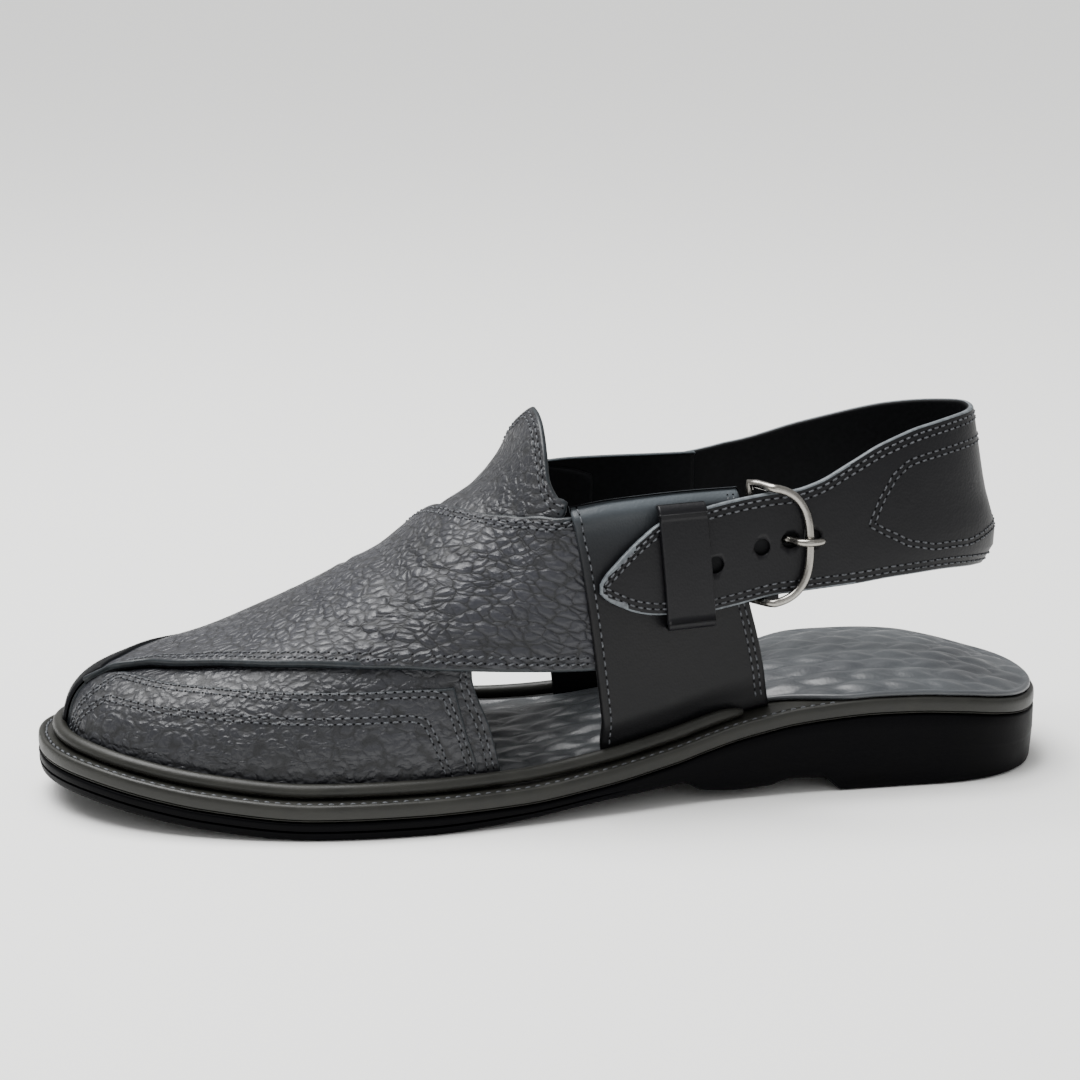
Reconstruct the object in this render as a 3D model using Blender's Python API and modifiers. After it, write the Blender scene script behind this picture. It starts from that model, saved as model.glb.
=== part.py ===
"""A peshawari chappal for the left foot, toe towards -X, outer side towards -Y, standing on z = 0.

Two wide straps cross over the instep and close the toe. Side panels join them to the strap that runs round
the heel and is buckled on the outer side. All sizes are in metres.
"""
import math
from collections import namedtuple

import bmesh
import bpy
import numpy as np

# Driving dimensions
SOLE_LENGTH = 0.292
BALL_WIDTH = 0.105
HEEL_HEIGHT = 0.0219        # rubber under the grey layer at the heel seat
FORE_THICKNESS = 0.0053     # rubber under the ball
WELT_THICKNESS = 0.0049
TOE_SPRING = 0.008
INSTEP_HEIGHT = 0.107       # floor to the point of the under strap
PANEL_HEIGHT = 0.0883       # floor to the top edge of the side panels
STRAP_WALL = 0.0019
OVERLAY_STEP = 0.0011
PANEL_STEP = 0.0017         # how far a side panel stands over the strap under it
PANEL_REAR_STEP = 0.0011
JOIN = 0.0008               # how deep a sewn layer sits in the one below
LEDGE_WIDTH = 0.004         # stitched ledge outside the bead
BEAD_RADIUS = 0.002
INSOLE_EDGE = 0.0018        # top of the footbed over the grey layer, at its rim and along its middle
INSOLE_CROWN = 0.0028
CLEARANCE = 0.0003

# Half widths of the sole and its centre line, as shares of the ball width, from heel to toe
Width = namedtuple("Width", "along outer inner centre")
WIDTHS = [
    Width(0.00, 0.345, 0.335, 0.000),
    Width(0.25, 0.345, 0.318, 0.000),
    Width(0.36, 0.362, 0.300, 0.000),
    Width(0.47, 0.415, 0.330, 0.000),
    Width(0.58, 0.472, 0.420, 0.005),
    Width(0.66, 0.502, 0.485, 0.010),
    Width(0.76, 0.515, 0.505, 0.020),
    Width(0.88, 0.510, 0.490, 0.035),
    Width(1.00, 0.500, 0.480, 0.045),
]
End = namedtuple("End", "span power")
HEEL_END = End(0.13, 2.2)
TOE_END = End(0.36, 2.25)

# Side profile of the sole: rise of the toe as a share of the spring, stack from ball (0) to heel seat (1),
# and how far the rubber is cut away underneath, as a share of the heel height
Profile = namedtuple("Profile", "along spring stack under")
PROFILE = [
    Profile(0.000, 0.00, 0.66, 0.10),
    Profile(0.030, 0.00, 0.69, 0.00),
    Profile(0.070, 0.00, 0.81, 0.00),
    Profile(0.107, 0.00, 0.92, 0.00),
    Profile(0.160, 0.00, 0.99, 0.00),
    Profile(0.200, 0.00, 1.00, 0.00),
    Profile(0.232, 0.00, 0.975, 0.00),
    Profile(0.250, 0.00, 0.95, 0.175),
    Profile(0.285, 0.00, 0.89, 0.205),
    Profile(0.308, 0.00, 0.82, 0.130),
    Profile(0.340, 0.00, 0.71, 0.110),
    Profile(0.378, 0.00, 0.53, 0.160),
    Profile(0.396, 0.00, 0.44, 0.280),
    Profile(0.420, 0.00, 0.35, 0.250),
    Profile(0.484, 0.00, 0.16, 0.180),
    Profile(0.565, 0.00, 0.02, 0.060),
    Profile(0.650, 0.00, 0.00, 0.000),
    Profile(0.760, 0.00, 0.00, 0.000),
    Profile(0.860, 0.27, 0.00, 0.000),
    Profile(0.920, 0.58, 0.00, 0.000),
    Profile(0.960, 0.82, 0.00, 0.000),
    Profile(1.000, 1.00, 0.00, 0.000),
]

# The last: height of the ridge as a share of the instep height, and how square its cross sections are
Ridge = namedtuple("Ridge", "along height power")
RIDGE = [
    Ridge(0.295, 1.120, 3.0),
    Ridge(0.430, 1.095, 3.0),
    Ridge(0.500, 1.062, 2.8),
    Ridge(0.526, 0.988, 2.5),
    Ridge(0.548, 0.880, 2.3),
    Ridge(0.572, 0.802, 2.2),
    Ridge(0.600, 0.752, 2.1),
    Ridge(0.623, 0.700, 2.1),
    Ridge(0.658, 0.624, 2.0),
    Ridge(0.688, 0.580, 2.0),
    Ridge(0.726, 0.523, 2.0),
    Ridge(0.770, 0.466, 2.0),
    Ridge(0.805, 0.423, 2.0),
    Ridge(0.842, 0.388, 2.1),
    Ridge(0.884, 0.354, 2.1),
    Ridge(1.000, 0.325, 2.1),
]
TOE_REACH = 0.026           # how far the ridge starts behind the tip of the last
LAST_SHARE = 0.68           # share of the sole's length that the last surface covers, from the toe
TIP_PACE = 0.30             # how soon the stations round the toe spread to an even pace


def read(rows, along, field):
    """A table's column at a place along the shoe, on a smooth curve with no overshoot."""
    xs = [getattr(row, rows[0]._fields[0]) for row in rows]
    ys = [getattr(row, field) for row in rows]
    last = len(xs) - 1
    along = min(max(along, xs[0]), xs[last])
    i = max(k for k in range(last) if xs[k] <= along)
    slopes = [(ys[k + 1] - ys[k]) / (xs[k + 1] - xs[k]) for k in range(last)]

    def tangent(k):
        if k in (0, last):
            return slopes[min(k, last - 1)]
        before, after = slopes[k - 1], slopes[k]
        return 2 * before * after / (before + after) if before * after > 0 else 0.0

    step = xs[i + 1] - xs[i]
    t = (along - xs[i]) / step
    return ((2 * t**3 - 3 * t**2 + 1) * ys[i] + (t**3 - 2 * t**2 + t) * step * tangent(i)
            + (3 * t**2 - 2 * t**3) * ys[i + 1] + (t**3 - t**2) * step * tangent(i + 1))


def end_factor(station, end):
    """How far the outline has closed towards an end, on a superellipse."""
    depth = min(max((end.span - station) / end.span, 0.0), 1.0)
    return (1 - depth**end.power) ** (1 / end.power)


def rim_xy(station, side, inset=0.0):
    """A point of the sole's outline moved inwards; station runs from heel (0) to toe (1)."""
    share = inset / SOLE_LENGTH
    along = share + (1 - 2 * share) * station
    column = "outer" if side < 0 else "inner"
    half = read(WIDTHS, along, column) * BALL_WIDTH - inset
    closing = end_factor(station, HEEL_END) * end_factor(1 - station, TOE_END)
    x = (0.5 - along) * SOLE_LENGTH
    y = read(WIDTHS, along, "centre") * BALL_WIDTH + side * half * closing
    return x, y - OUTLINE_SHIFT


def along_of(x):
    return 0.5 - x / SOLE_LENGTH


def centre_y(along):
    return read(WIDTHS, along, "centre") * BALL_WIDTH - OUTLINE_SHIFT


def ground_z(along):
    """The line that the sole follows: flat, then rising with the toe spring."""
    return TOE_SPRING * read(PROFILE, along, "spring")


def under_z(along):
    return ground_z(along) + HEEL_HEIGHT * read(PROFILE, along, "under")


def parting_z(along):
    stack = read(PROFILE, along, "stack")
    return ground_z(along) + FORE_THICKNESS + (HEEL_HEIGHT - FORE_THICKNESS) * stack


def deck_z(along):
    """Top of the grey layer."""
    return parting_z(along) + WELT_THICKNESS


OUTLINE_SHIFT = 0.0         # measured next, so that the outline is centred across
OUTLINE_SHIFT = 0.5 * sum(
    pick(rim_xy(k / 200, side)[1] for k in range(201)) for side, pick in ((-1, min), (1, max)))
FEATHER_INSET = LEDGE_WIDTH + 2 * BEAD_RADIUS + CLEARANCE


def feather(a, side):
    """Foot of the last's wall; a runs from the toe tip (0) to behind the side panels (1)."""
    pace = a * a * (1 + TIP_PACE) / (a + TIP_PACE)
    x, y = rim_xy(1 - LAST_SHARE * pace, side, FEATHER_INSET)
    return x, y, deck_z(along_of(x)) + CLEARANCE


def spine(a):
    pace = a * a * (1 + TIP_PACE) / (a + TIP_PACE)
    x = feather(a, 1)[0] + TOE_REACH * (1 - pace) ** 3
    along = along_of(x)
    return x, centre_y(along), read(RIDGE, along, "height") * INSTEP_HEIGHT


def last_point(a, w):
    """The last's surface: w is -1 at the outer feather line, 0 on the ridge, 1 at the inner one."""
    side = -1 if w < 0 else 1
    foot, top = feather(a, side), spine(a)
    power = read(RIDGE, along_of(top[0]), "power")
    angle = 0.5 * math.pi * (1 - abs(w))
    across = 1 - max(math.cos(angle), 0.0) ** (2 / power)
    up = math.sin(angle) ** (2 / power)
    step = 0.001
    behind = read(RIDGE, along_of(top[0] + step), "height")
    ahead = read(RIDGE, along_of(top[0] - step), "height")
    slope = (behind - ahead) * INSTEP_HEIGHT / (2 * step)
    x = foot[0] + (top[0] - foot[0]) * across
    y = foot[1] + (top[1] - foot[1]) * across
    z = foot[2] + (top[2] - foot[2]) * up - slope * (top[0] - x) * across**3
    return np.array((x, y, z))


def last_normal(a, w):
    step = 0.002
    wide = min(max(w, step - 1), 1 - step)
    near = max(a, step)
    along = last_point(near + step, wide) - last_point(near - step, wide)
    across = last_point(near, wide + step) - last_point(near, wide - step)
    normal = np.cross(along, across)
    if a < step:
        normal[1] = 0.0
    if normal[2] < 0 or (abs(w) > 0.5 and normal[1] * w < 0):
        normal = -normal
    return normal / np.linalg.norm(normal)


def at_height(a, side, z):
    """The place across the last, on one side, where its surface has height z."""
    low, high = 0.0, 1.0
    for _ in range(24):
        middle = 0.5 * (low + high)
        if last_point(a, side * middle)[2] > z:
            low = middle
        else:
            high = middle
    return side * 0.5 * (low + high)


def ease(share):
    share = min(max(share, 0.0), 1.0)
    return share * share * (3 - 2 * share)


def mix(start, end, share):
    return start + (end - start) * share


FLUSH = 1.6 * BEAD_RADIUS   # height beside the bead over which an outer layer lies almost flush
FLUSH_SHARE = 0.004         # share of its step that it keeps there
CLIMB = 0.010               # height over which it then climbs to its full step


def layer_point(a, w, step):
    """A point of an outer layer, which stands a step proud of the last and comes flush at its foot."""
    point = last_point(a, w)
    foot = feather(a, -1 if w < 0 else 1)[2]
    climb = mix(FLUSH_SHARE, 1.0, ease((point[2] - foot - FLUSH) / CLIMB))
    return point + last_normal(a, w) * step * climb


# Edges of the straps and panels on the last. Heights are shares of the instep or panel height.
Edge = namedtuple("Edge", "a height")
OVER_LOW_EDGE = [           # lower edge of the over strap, outer side
    Edge(0.000, 0.290),
    Edge(0.016, 0.328),
    Edge(0.054, 0.339),
    Edge(0.162, 0.355),
    Edge(0.278, 0.374),
    Edge(0.365, 0.388),
    Edge(0.459, 0.400),
    Edge(0.550, 0.402),
    Edge(0.703, 0.387),
    Edge(0.789, 0.377),
    Edge(0.860, 0.370),
]
UNDER_LOW_EDGE = [          # the same edge of the under strap, inner side; its front is under the over strap
    Edge(0.000, 0.060),
    Edge(0.200, 0.100),
    Edge(0.340, 0.340),
    Edge(0.500, 0.412),
    Edge(0.703, 0.396),
    Edge(0.860, 0.372),
]
Reach = namedtuple("Reach", "up a")
OVER_REAR = [               # rear foot of the over strap, from its lower edge (0) to the ridge (1)
    Reach(0.000, 0.860),
    Reach(0.290, 0.860),
    Reach(0.354, 0.785),
    Reach(0.444, 0.738),
    Reach(0.546, 0.709),
    Reach(0.675, 0.681),
    Reach(1.000, 0.634),
]
UNDER_REAR = [
    Reach(0.000, 0.860),
    Reach(0.300, 0.860),
    Reach(0.380, 0.775),
    Reach(0.480, 0.757),
    Reach(0.600, 0.746),
    Reach(0.750, 0.739),
    Reach(0.900, 0.742),
    Reach(1.000, 0.753),
]
Sweep = namedtuple("Sweep", "w a")
OVER_FRONT = [              # rear edge of the over strap's front foot, from the ridge to the feather line
    Sweep(0.00, 0.634),
    Sweep(0.30, 0.618),
    Sweep(0.60, 0.622),
    Sweep(0.80, 0.650),
    Sweep(1.00, 0.683),
]
UNDER_FRONT = [
    Sweep(0.00, 0.753),
    Sweep(0.38, 0.750),
    Sweep(0.48, 0.758),
    Sweep(0.545, 0.772),
    Sweep(0.62, 0.700),
    Sweep(0.72, 0.644),
    Sweep(0.88, 0.667),
    Sweep(1.00, 0.683),
]
Turn = namedtuple("Turn", "down a")
OVER_TOE = [                # front edge of the over strap, from the toe's middle line to the inner feather line
    Turn(0.00, 0.000),
    Turn(0.26, 0.130),
    Turn(0.60, 0.210),
    Turn(1.00, 0.260),
]
OVERLAY_INNER = 0.32        # where the overlay ends under the over strap, inner side
OVERLAY_TOP = [             # top edge of the overlay on the under strap's front foot, outer side
    Edge(0.000, 0.320),
    Edge(0.060, 0.335),
    Edge(0.356, 0.342),
    Edge(0.553, 0.354),
    Edge(0.660, 0.362),
]
OVERLAY_REAR = [            # its rear edge, from the feather line (0) to the top (1)
    Reach(0.0, 0.660),
    Reach(0.5, 0.636),
    Reach(1.0, 0.620),
]
PANEL_FRONT = [
    Reach(0.0, 0.816),
    Reach(0.3, 0.804),
    Reach(0.6, 0.791),
    Reach(1.0, 0.772),
]
PANEL_REAR = [
    Reach(0.0, 1.026),
    Reach(0.3, 1.008),
    Reach(0.6, 0.988),
    Reach(1.0, 0.982),
]
PANEL_TOP = [
    Edge(0.770, 0.972),
    Edge(0.830, 0.990),
    Edge(0.910, 0.997),
    Edge(1.030, 1.000),
]


# Building the pieces
def new_collection(name):
    collection = bpy.data.collections.new(name)
    bpy.context.scene.collection.children.link(collection)
    return collection


for old in list(bpy.data.objects):
    bpy.data.objects.remove(old, do_unlink=True)
CHAPPAL = new_collection("peshawari_chappal")
CUTTERS = new_collection("cutters")


SLIVER = 0.00002            # points nearer than this are one point


def finish_material(name, colour, roughness, metallic=0.0):
    material = bpy.data.materials.new(name)
    material.use_nodes = True
    shader = material.node_tree.nodes["Principled BSDF"]
    shader.inputs["Base Color"].default_value = (*colour, 1.0)
    shader.inputs["Roughness"].default_value = roughness
    shader.inputs["Metallic"].default_value = metallic
    return material


GRAIN_LEATHER = finish_material("grain_leather", (0.045, 0.047, 0.055), 0.5)
SMOOTH_LEATHER = finish_material("smooth_leather", (0.03, 0.03, 0.032), 0.45)
WELT_RUBBER = finish_material("welt_rubber", (0.07, 0.07, 0.065), 0.5)
SOLE_RUBBER = finish_material("sole_rubber", (0.006, 0.006, 0.009), 0.4)
FOOTBED_LEATHER = finish_material("footbed_leather", (0.13, 0.14, 0.145), 0.45)
STEEL = finish_material("polished_steel", (0.6, 0.59, 0.57), 0.15, 1.0)


def add_object(name, mesh, material):
    piece = bpy.data.objects.new(name, mesh)
    CHAPPAL.objects.link(piece)
    piece.data.materials.append(material)
    return piece


def mesh_from_grids(name, grids):
    """One mesh from rows of points; grids that share a row are welded along it."""
    work = bmesh.new()
    for grid in grids:
        rows = [[work.verts.new(point) for point in row] for row in grid]
        for lower, upper in zip(rows, rows[1:]):
            for k in range(len(lower) - 1):
                work.faces.new((lower[k], lower[k + 1], upper[k + 1], upper[k]))
    bmesh.ops.remove_doubles(work, verts=work.verts, dist=SLIVER)
    mesh = bpy.data.meshes.new(name)
    work.to_mesh(mesh)
    work.free()
    return mesh


def face_outwards(mesh, centre_z):
    """Turn an open sheet's faces away from the shoe's middle line."""
    work = bmesh.new()
    work.from_mesh(mesh)
    bmesh.ops.recalc_face_normals(work, faces=work.faces)
    facing = 0.0
    for face in work.faces:
        middle = face.calc_center_median()
        facing += face.calc_area() * (face.normal.y * middle.y + face.normal.z * (middle.z - centre_z))
    if facing < 0:
        bmesh.ops.reverse_faces(work, faces=work.faces)
    work.to_mesh(mesh)
    work.free()


def thicken(piece, wall, offset):
    """Give a sheet its wall, on the side of its faces (offset 1) or behind them (-1)."""
    modifier = piece.modifiers.new("wall", "SOLIDIFY")
    modifier.thickness = wall
    modifier.offset = offset
    modifier.use_even_offset = True
    return piece


SHEET_CENTRE_Z = 0.02       # height of the line that the upper's layers face away from


def solid_sheet(name, grids, wall, material, offset=-1.0, centre_z=SHEET_CENTRE_Z):
    """A sheet of leather: one face from grids of points, facing away from the shoe, and its wall."""
    mesh = mesh_from_grids(name, grids)
    face_outwards(mesh, centre_z)
    return thicken(add_object(name, mesh, material), wall, offset)


def freeze(piece):
    """Apply the modifiers, so that the piece can be joined or cut."""
    evaluated = piece.evaluated_get(bpy.context.evaluated_depsgraph_get())
    mesh = bpy.data.meshes.new_from_object(evaluated)
    piece.modifiers.clear()
    piece.data = mesh
    return piece


def drop_specks(mesh):
    """Delete the tiny closed slivers that a union leaves where two facets graze each other."""
    work = bmesh.new()
    work.from_mesh(mesh)
    unseen = set(work.verts)
    islands = []
    while unseen:
        island, edge_of_island = set(), [unseen.pop()]
        while edge_of_island:
            vert = edge_of_island.pop()
            island.add(vert)
            for edge in vert.link_edges:
                other = edge.other_vert(vert)
                if other in unseen:
                    unseen.remove(other)
                    edge_of_island.append(other)
        islands.append(island)
    islands.sort(key=len)
    for island in islands[:-1]:
        bmesh.ops.delete(work, geom=list(island), context="VERTS")
    bmesh.ops.triangulate(work, faces=work.faces)
    bmesh.ops.dissolve_degenerate(work, dist=SLIVER, edges=work.edges)
    work.to_mesh(mesh)
    work.free()


def union(name, pieces):
    base = pieces[0]
    for other in pieces[1:]:
        join = base.modifiers.new("join", "BOOLEAN")
        join.operation = "UNION"
        join.object = other
        freeze(base)
        bpy.data.objects.remove(other, do_unlink=True)
    drop_specks(base.data)
    base.name = name
    return base


# Sole: rubber unit, grey layer, bead and footbed
STATIONS = [0.0, 0.002, 0.010, 0.024, 0.045, 0.075, 0.115, 0.16, 0.205, 0.230, 0.240, 0.250, 0.270, 0.290,
            0.306, 0.325, 0.350, 0.375, 0.388, 0.400, 0.430, 0.470, 0.52, 0.57, 0.62, 0.67, 0.72, 0.77,
            0.82, 0.86, 0.895, 0.925, 0.95, 0.97, 0.985, 0.995, 1.0]


def rim_loop(inset, height, groove=0.0):
    """A closed loop round the sole: outer side from heel to toe, inner side back; a groove is for the forefoot."""
    loop = []
    for side, run in ((-1, STATIONS), (1, STATIONS[-2:0:-1])):
        for station in run:
            sets_in = ease((station - STEP_START[0]) / (STEP_START[1] - STEP_START[0]))
            x, y = rim_xy(station, side, inset + groove * sets_in)
            loop.append((x, y, height(along_of(x), side, station)))
    return loop


def layered_solid(name, loops, material):
    """A solid from closed loops of equal count, bottom to top, capped by strips from side to side."""
    work = bmesh.new()
    rings = [[work.verts.new(point) for point in loop] for loop in loops]
    count = len(rings[0])
    for lower, upper in zip(rings, rings[1:]):
        for k in range(count):
            n = (k + 1) % count
            work.faces.new((lower[k], lower[n], upper[n], upper[k]))
    for ring in (rings[0], rings[-1]):
        for k in range(count // 2):
            strip = [ring[k], ring[k + 1], ring[(count - k - 1) % count], ring[(count - k) % count]]
            work.faces.new([v for i, v in enumerate(strip) if v not in strip[:i]])
    bmesh.ops.remove_doubles(work, verts=work.verts, dist=SLIVER)
    bmesh.ops.recalc_face_normals(work, faces=work.faces)
    mesh = bpy.data.meshes.new(name)
    work.to_mesh(mesh)
    work.free()
    return add_object(name, mesh, material)


EDGE_ROUND = 0.0006
STEP_DEPTH = 0.0009         # the groove between the two steps of the forefoot's edge
STEP_START = (0.44, 0.54)   # places along the sole, from the heel, between which the groove sets in
STEP_LOW, STEP_MIDDLE, STEP_HIGH = 0.44, 0.50, 0.56     # its lines, as shares of the rubber's thickness


def make_outsole():
    def between(share, lift=0.0):
        return lambda along, side, station: mix(under_z(along), parting_z(along), share) + lift

    loops = [
        rim_loop(3 * EDGE_ROUND, between(0.0)),
        rim_loop(EDGE_ROUND, between(0.0, EDGE_ROUND)),
        rim_loop(0.3 * EDGE_ROUND, between(STEP_LOW)),
        rim_loop(0.1 * EDGE_ROUND, between(STEP_MIDDLE), STEP_DEPTH),
        rim_loop(0.0, between(STEP_HIGH)),
        rim_loop(0.0, between(1.0, -EDGE_ROUND)),
        rim_loop(EDGE_ROUND, between(1.0)),
    ]
    return layered_solid("outsole", loops, SOLE_RUBBER)


def make_welt():
    def above(lift):
        return lambda along, side, station: parting_z(along) + lift

    loops = [
        rim_loop(EDGE_ROUND, above(CLEARANCE)),
        rim_loop(0.0, above(CLEARANCE + EDGE_ROUND)),
        rim_loop(0.0, above(WELT_THICKNESS - EDGE_ROUND)),
        rim_loop(EDGE_ROUND, above(WELT_THICKNESS)),
    ]
    return layered_solid("welt", loops, WELT_RUBBER)


BEAD_END = 0.325            # where the bead stops beside the side panels, from the heel
BEAD_POINTS = 26


def cord_curve(name, points, radius, material, cyclic=False, segments=2):
    curve = bpy.data.curves.new(name, "CURVE")
    curve.dimensions = "3D"
    curve.bevel_depth = radius
    curve.bevel_resolution = segments
    curve.use_fill_caps = True
    spline = curve.splines.new("POLY")
    spline.points.add(len(points) - 1)
    for target, point in zip(spline.points, points):
        target.co = (*point, 1.0)
    spline.use_cyclic_u = cyclic
    piece = bpy.data.objects.new(name, curve)
    CHAPPAL.objects.link(piece)
    curve.materials.append(material)
    return piece


def make_bead():
    inset = LEDGE_WIDTH + BEAD_RADIUS
    points = []
    for side, run in ((-1, range(BEAD_POINTS + 1)), (1, range(BEAD_POINTS - 1, -1, -1))):
        for k in run:
            share = math.sin(0.5 * math.pi * k / BEAD_POINTS)
            station = mix(BEAD_END, 1.0, share)
            x, y = rim_xy(station, side, inset)
            points.append((x, y, deck_z(along_of(x)) + CLEARANCE + BEAD_RADIUS))
    return cord_curve("welt_bead", points, BEAD_RADIUS, WELT_RUBBER)


INSOLE_SIDE_INSET = FEATHER_INSET + STRAP_WALL + JOIN + 2 * CLEARANCE
INSOLE_HEEL_INSET = 0.0012
INSOLE_END = 0.03           # length at heel and toe over which its crown runs out
FREE_HEEL = (0.215, 0.295)  # the footbed widens to the sole's edge between these places, from the heel


def make_insole():
    def inset_at(station):
        return mix(INSOLE_HEEL_INSET, INSOLE_SIDE_INSET, ease((station - FREE_HEEL[0])
                                                              / (FREE_HEEL[1] - FREE_HEEL[0])))

    def ring(extra, lift, crown, inwards):
        loop = []
        for side, run in ((-1, STATIONS), (1, STATIONS[-2:0:-1])):
            for station in run:
                edge_x, edge_y = rim_xy(station, side, inset_at(station) + extra)
                middle_x = min(max(edge_x, INSOLE_END - 0.5 * SOLE_LENGTH), 0.5 * SOLE_LENGTH - INSOLE_END)
                x = mix(edge_x, middle_x, inwards)
                y = mix(edge_y, centre_y(along_of(middle_x)), inwards)
                heel_share = 1 - 0.6 * ease((along_of(x) - 0.3) / 0.3)
                loop.append((x, y, deck_z(along_of(x)) + lift + crown * heel_share))
        return loop

    thick = INSOLE_EDGE
    loops = [
        ring(EDGE_ROUND, CLEARANCE, 0.0, 0.0),
        ring(0.0, CLEARANCE + EDGE_ROUND, 0.0, 0.0),
        ring(0.0, thick - EDGE_ROUND, 0.0, 0.0),
        ring(EDGE_ROUND, thick, 0.0, 0.0),
        ring(EDGE_ROUND, thick, 0.45 * INSOLE_CROWN, 0.16),
        ring(EDGE_ROUND, thick, 0.85 * INSOLE_CROWN, 0.42),
        ring(EDGE_ROUND, thick, INSOLE_CROWN, 0.72),
    ]
    return layered_solid("insole", loops, FOOTBED_LEATHER)


# Upper: two crossing straps, an overlay and two side panels, sewn into one
ALONG_COUNT = 16
ACROSS_COUNT = 9
TOE_COLUMN = 0.02           # a narrow first column, where the over strap's edge turns down over the toe


def strap_grids(foot, low_edge, rear_reach, front_sweep, step, toe=None):
    """Both halves of a crossing strap: its front foot on side foot, its rear foot on the other."""
    columns = [0.0, TOE_COLUMN] + [k / ALONG_COUNT for k in range(1, ALONG_COUNT + 1)]
    rear_rows = []
    for r in range(ACROSS_COUNT + 1):
        up = r / ACROSS_COUNT
        end = read(rear_reach, up, "a")
        row = []
        for share in columns:
            a = end * share
            edge = at_height(a, -foot, read(low_edge, a, "height") * INSTEP_HEIGHT)
            row.append(layer_point(a, edge * (1 - up), step))
        rear_rows.append(row)
    toe_edge = abs(at_height(0.0, -foot, low_edge[0].height * INSTEP_HEIGHT))
    front_rows = []
    shares = [toe_edge * r / ACROSS_COUNT for r in range(ACROSS_COUNT + 1)]
    if toe:
        shares += [mix(toe_edge, 1.0, row.down) for row in toe[1:]]
    for w in shares:
        start = read(toe, (w - toe_edge) / (1 - toe_edge), "a") if toe else 0.0
        end = read(front_sweep, w, "a")
        front_rows.append([layer_point(mix(start, end, share), foot * w, step) for share in columns])
    return [rear_rows, front_rows]


def overlay_grids():
    rows_outer, rows_inner = [], []
    rows = 4
    for r in range(rows + 1):
        up = r / rows
        end = read(OVERLAY_REAR, up, "a")
        outer, inner = [], []
        for side, reach, row, count in ((-1, end, outer, 12), (1, OVERLAY_INNER, inner, 4)):
            for k in range(count + 1):
                a = reach * k / count
                foot = feather(a, side)[2]
                z = mix(foot, read(OVERLAY_TOP, a, "height") * INSTEP_HEIGHT, up)
                w = at_height(a, side, z) if r else float(side)
                row.append(layer_point(a, w, OVERLAY_STEP))
        rows_outer.append(outer)
        rows_inner.append(inner)
    return [rows_outer, rows_inner]


def panel_step(p, side):
    front = PANEL_STEP + (STRAP_WALL if side < 0 else 0.0)
    return mix(front, PANEL_REAR_STEP, p)


def panel_grid(side):
    rows = []
    levels = [0.0, 0.08, 0.2, 0.4, 0.6, 0.8, 1.0]
    columns = 6
    for q in levels:
        row = []
        for k in range(columns + 1):
            p = k / columns
            a = mix(read(PANEL_FRONT, q, "a"), read(PANEL_REAR, q, "a"), p)
            foot = feather(a, side)[2]
            z = mix(foot, read(PANEL_TOP, a, "height") * PANEL_HEIGHT, q)
            w = at_height(a, side, z) if q else float(side)
            row.append(layer_point(a, w, panel_step(p, side)))
        rows.append(row)
    return rows


def make_upper():
    wall = STRAP_WALL
    under = solid_sheet("under_strap", strap_grids(-1, UNDER_LOW_EDGE, UNDER_REAR, UNDER_FRONT, 0.0),
                        wall, GRAIN_LEATHER)
    overlay = solid_sheet("overlay", overlay_grids(), OVERLAY_STEP + JOIN, GRAIN_LEATHER)
    over = solid_sheet("over_strap", strap_grids(1, OVER_LOW_EDGE, OVER_REAR, OVER_FRONT, wall, OVER_TOE),
                       wall + JOIN, GRAIN_LEATHER)
    panels = [solid_sheet("side_panel", [panel_grid(side)], PANEL_STEP + JOIN, SMOOTH_LEATHER)
              for side in (-1, 1)]
    layers = [freeze(piece) for piece in (under, overlay, over, *panels)]
    return union("upper", layers)


# Heel strap, keeper and buckle. A place on the strap is its turn: 0 at the back of the heel, -1 and 1 where
# the strap straightens beside the panels, and beyond those the straight runs over the panels.
HEEL_STRAP_WALL = 0.0020
STRAP_SEAT = 0.0010         # between a panel's face and the strap's inner face
TURN_START = 0.301          # where the straight runs end, along the sole from the heel
RUN_REACH = 0.070           # length of one turn on a straight run
LOOP_BACK = 0.0126          # from the sole's back edge to the strap's furthest back
LOOP_POWER = 2.2
Band = namedtuple("Band", "turn low high")
BANDS = [                   # edges of the strap, as shares of the panel height
    Band(-1.764, 0.712, 0.742),
    Band(-1.745, 0.696, 0.766),
    Band(-1.720, 0.682, 0.786),
    Band(-1.594, 0.637, 0.872),
    Band(-1.500, 0.624, 0.917),
    Band(-1.314, 0.618, 0.950),
    Band(-1.186, 0.630, 0.968),
    Band(-1.040, 0.652, 0.983),
    Band(-0.970, 0.660, 0.988),
    Band(-0.903, 0.667, 1.010),
    Band(-0.807, 0.675, 1.063),
    Band(-0.696, 0.686, 1.116),
    Band(-0.533, 0.690, 1.156),
    Band(-0.300, 0.676, 1.174),
    Band(0.000, 0.654, 1.178),
    Band(0.300, 0.660, 1.166),
    Band(0.500, 0.665, 1.148),
    Band(0.800, 0.670, 1.078),
    Band(1.000, 0.670, 1.012),
    Band(1.260, 0.675, 0.975),
]
Lean = namedtuple("Lean", "up forward")
LEANS = [                   # how far the strap's back leans forward of its furthest point
    Lean(0.00, 0.0037),
    Lean(0.15, 0.0),
    Lean(0.50, 0.0040),
    Lean(1.00, 0.0082),
]
BUCKLE_BAR = 0.324          # place of the buckle's bar along the sole, from the heel
HOLE_WIDTH = 0.0048
Hole = namedtuple("Hole", "behind_bar height length")
PRONG_HOLE = Hole(0.0080, 0.831, 0.0078)
HOLES = [                   # distance behind the bar, height as a share of the panel height
    Hole(-0.0119, 0.769, HOLE_WIDTH),
    Hole(0.0019, 0.815, HOLE_WIDTH),
    PRONG_HOLE,
    Hole(0.0169, 0.838, HOLE_WIDTH),
]


def place_x(along):
    return (0.5 - along) * SOLE_LENGTH


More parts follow.
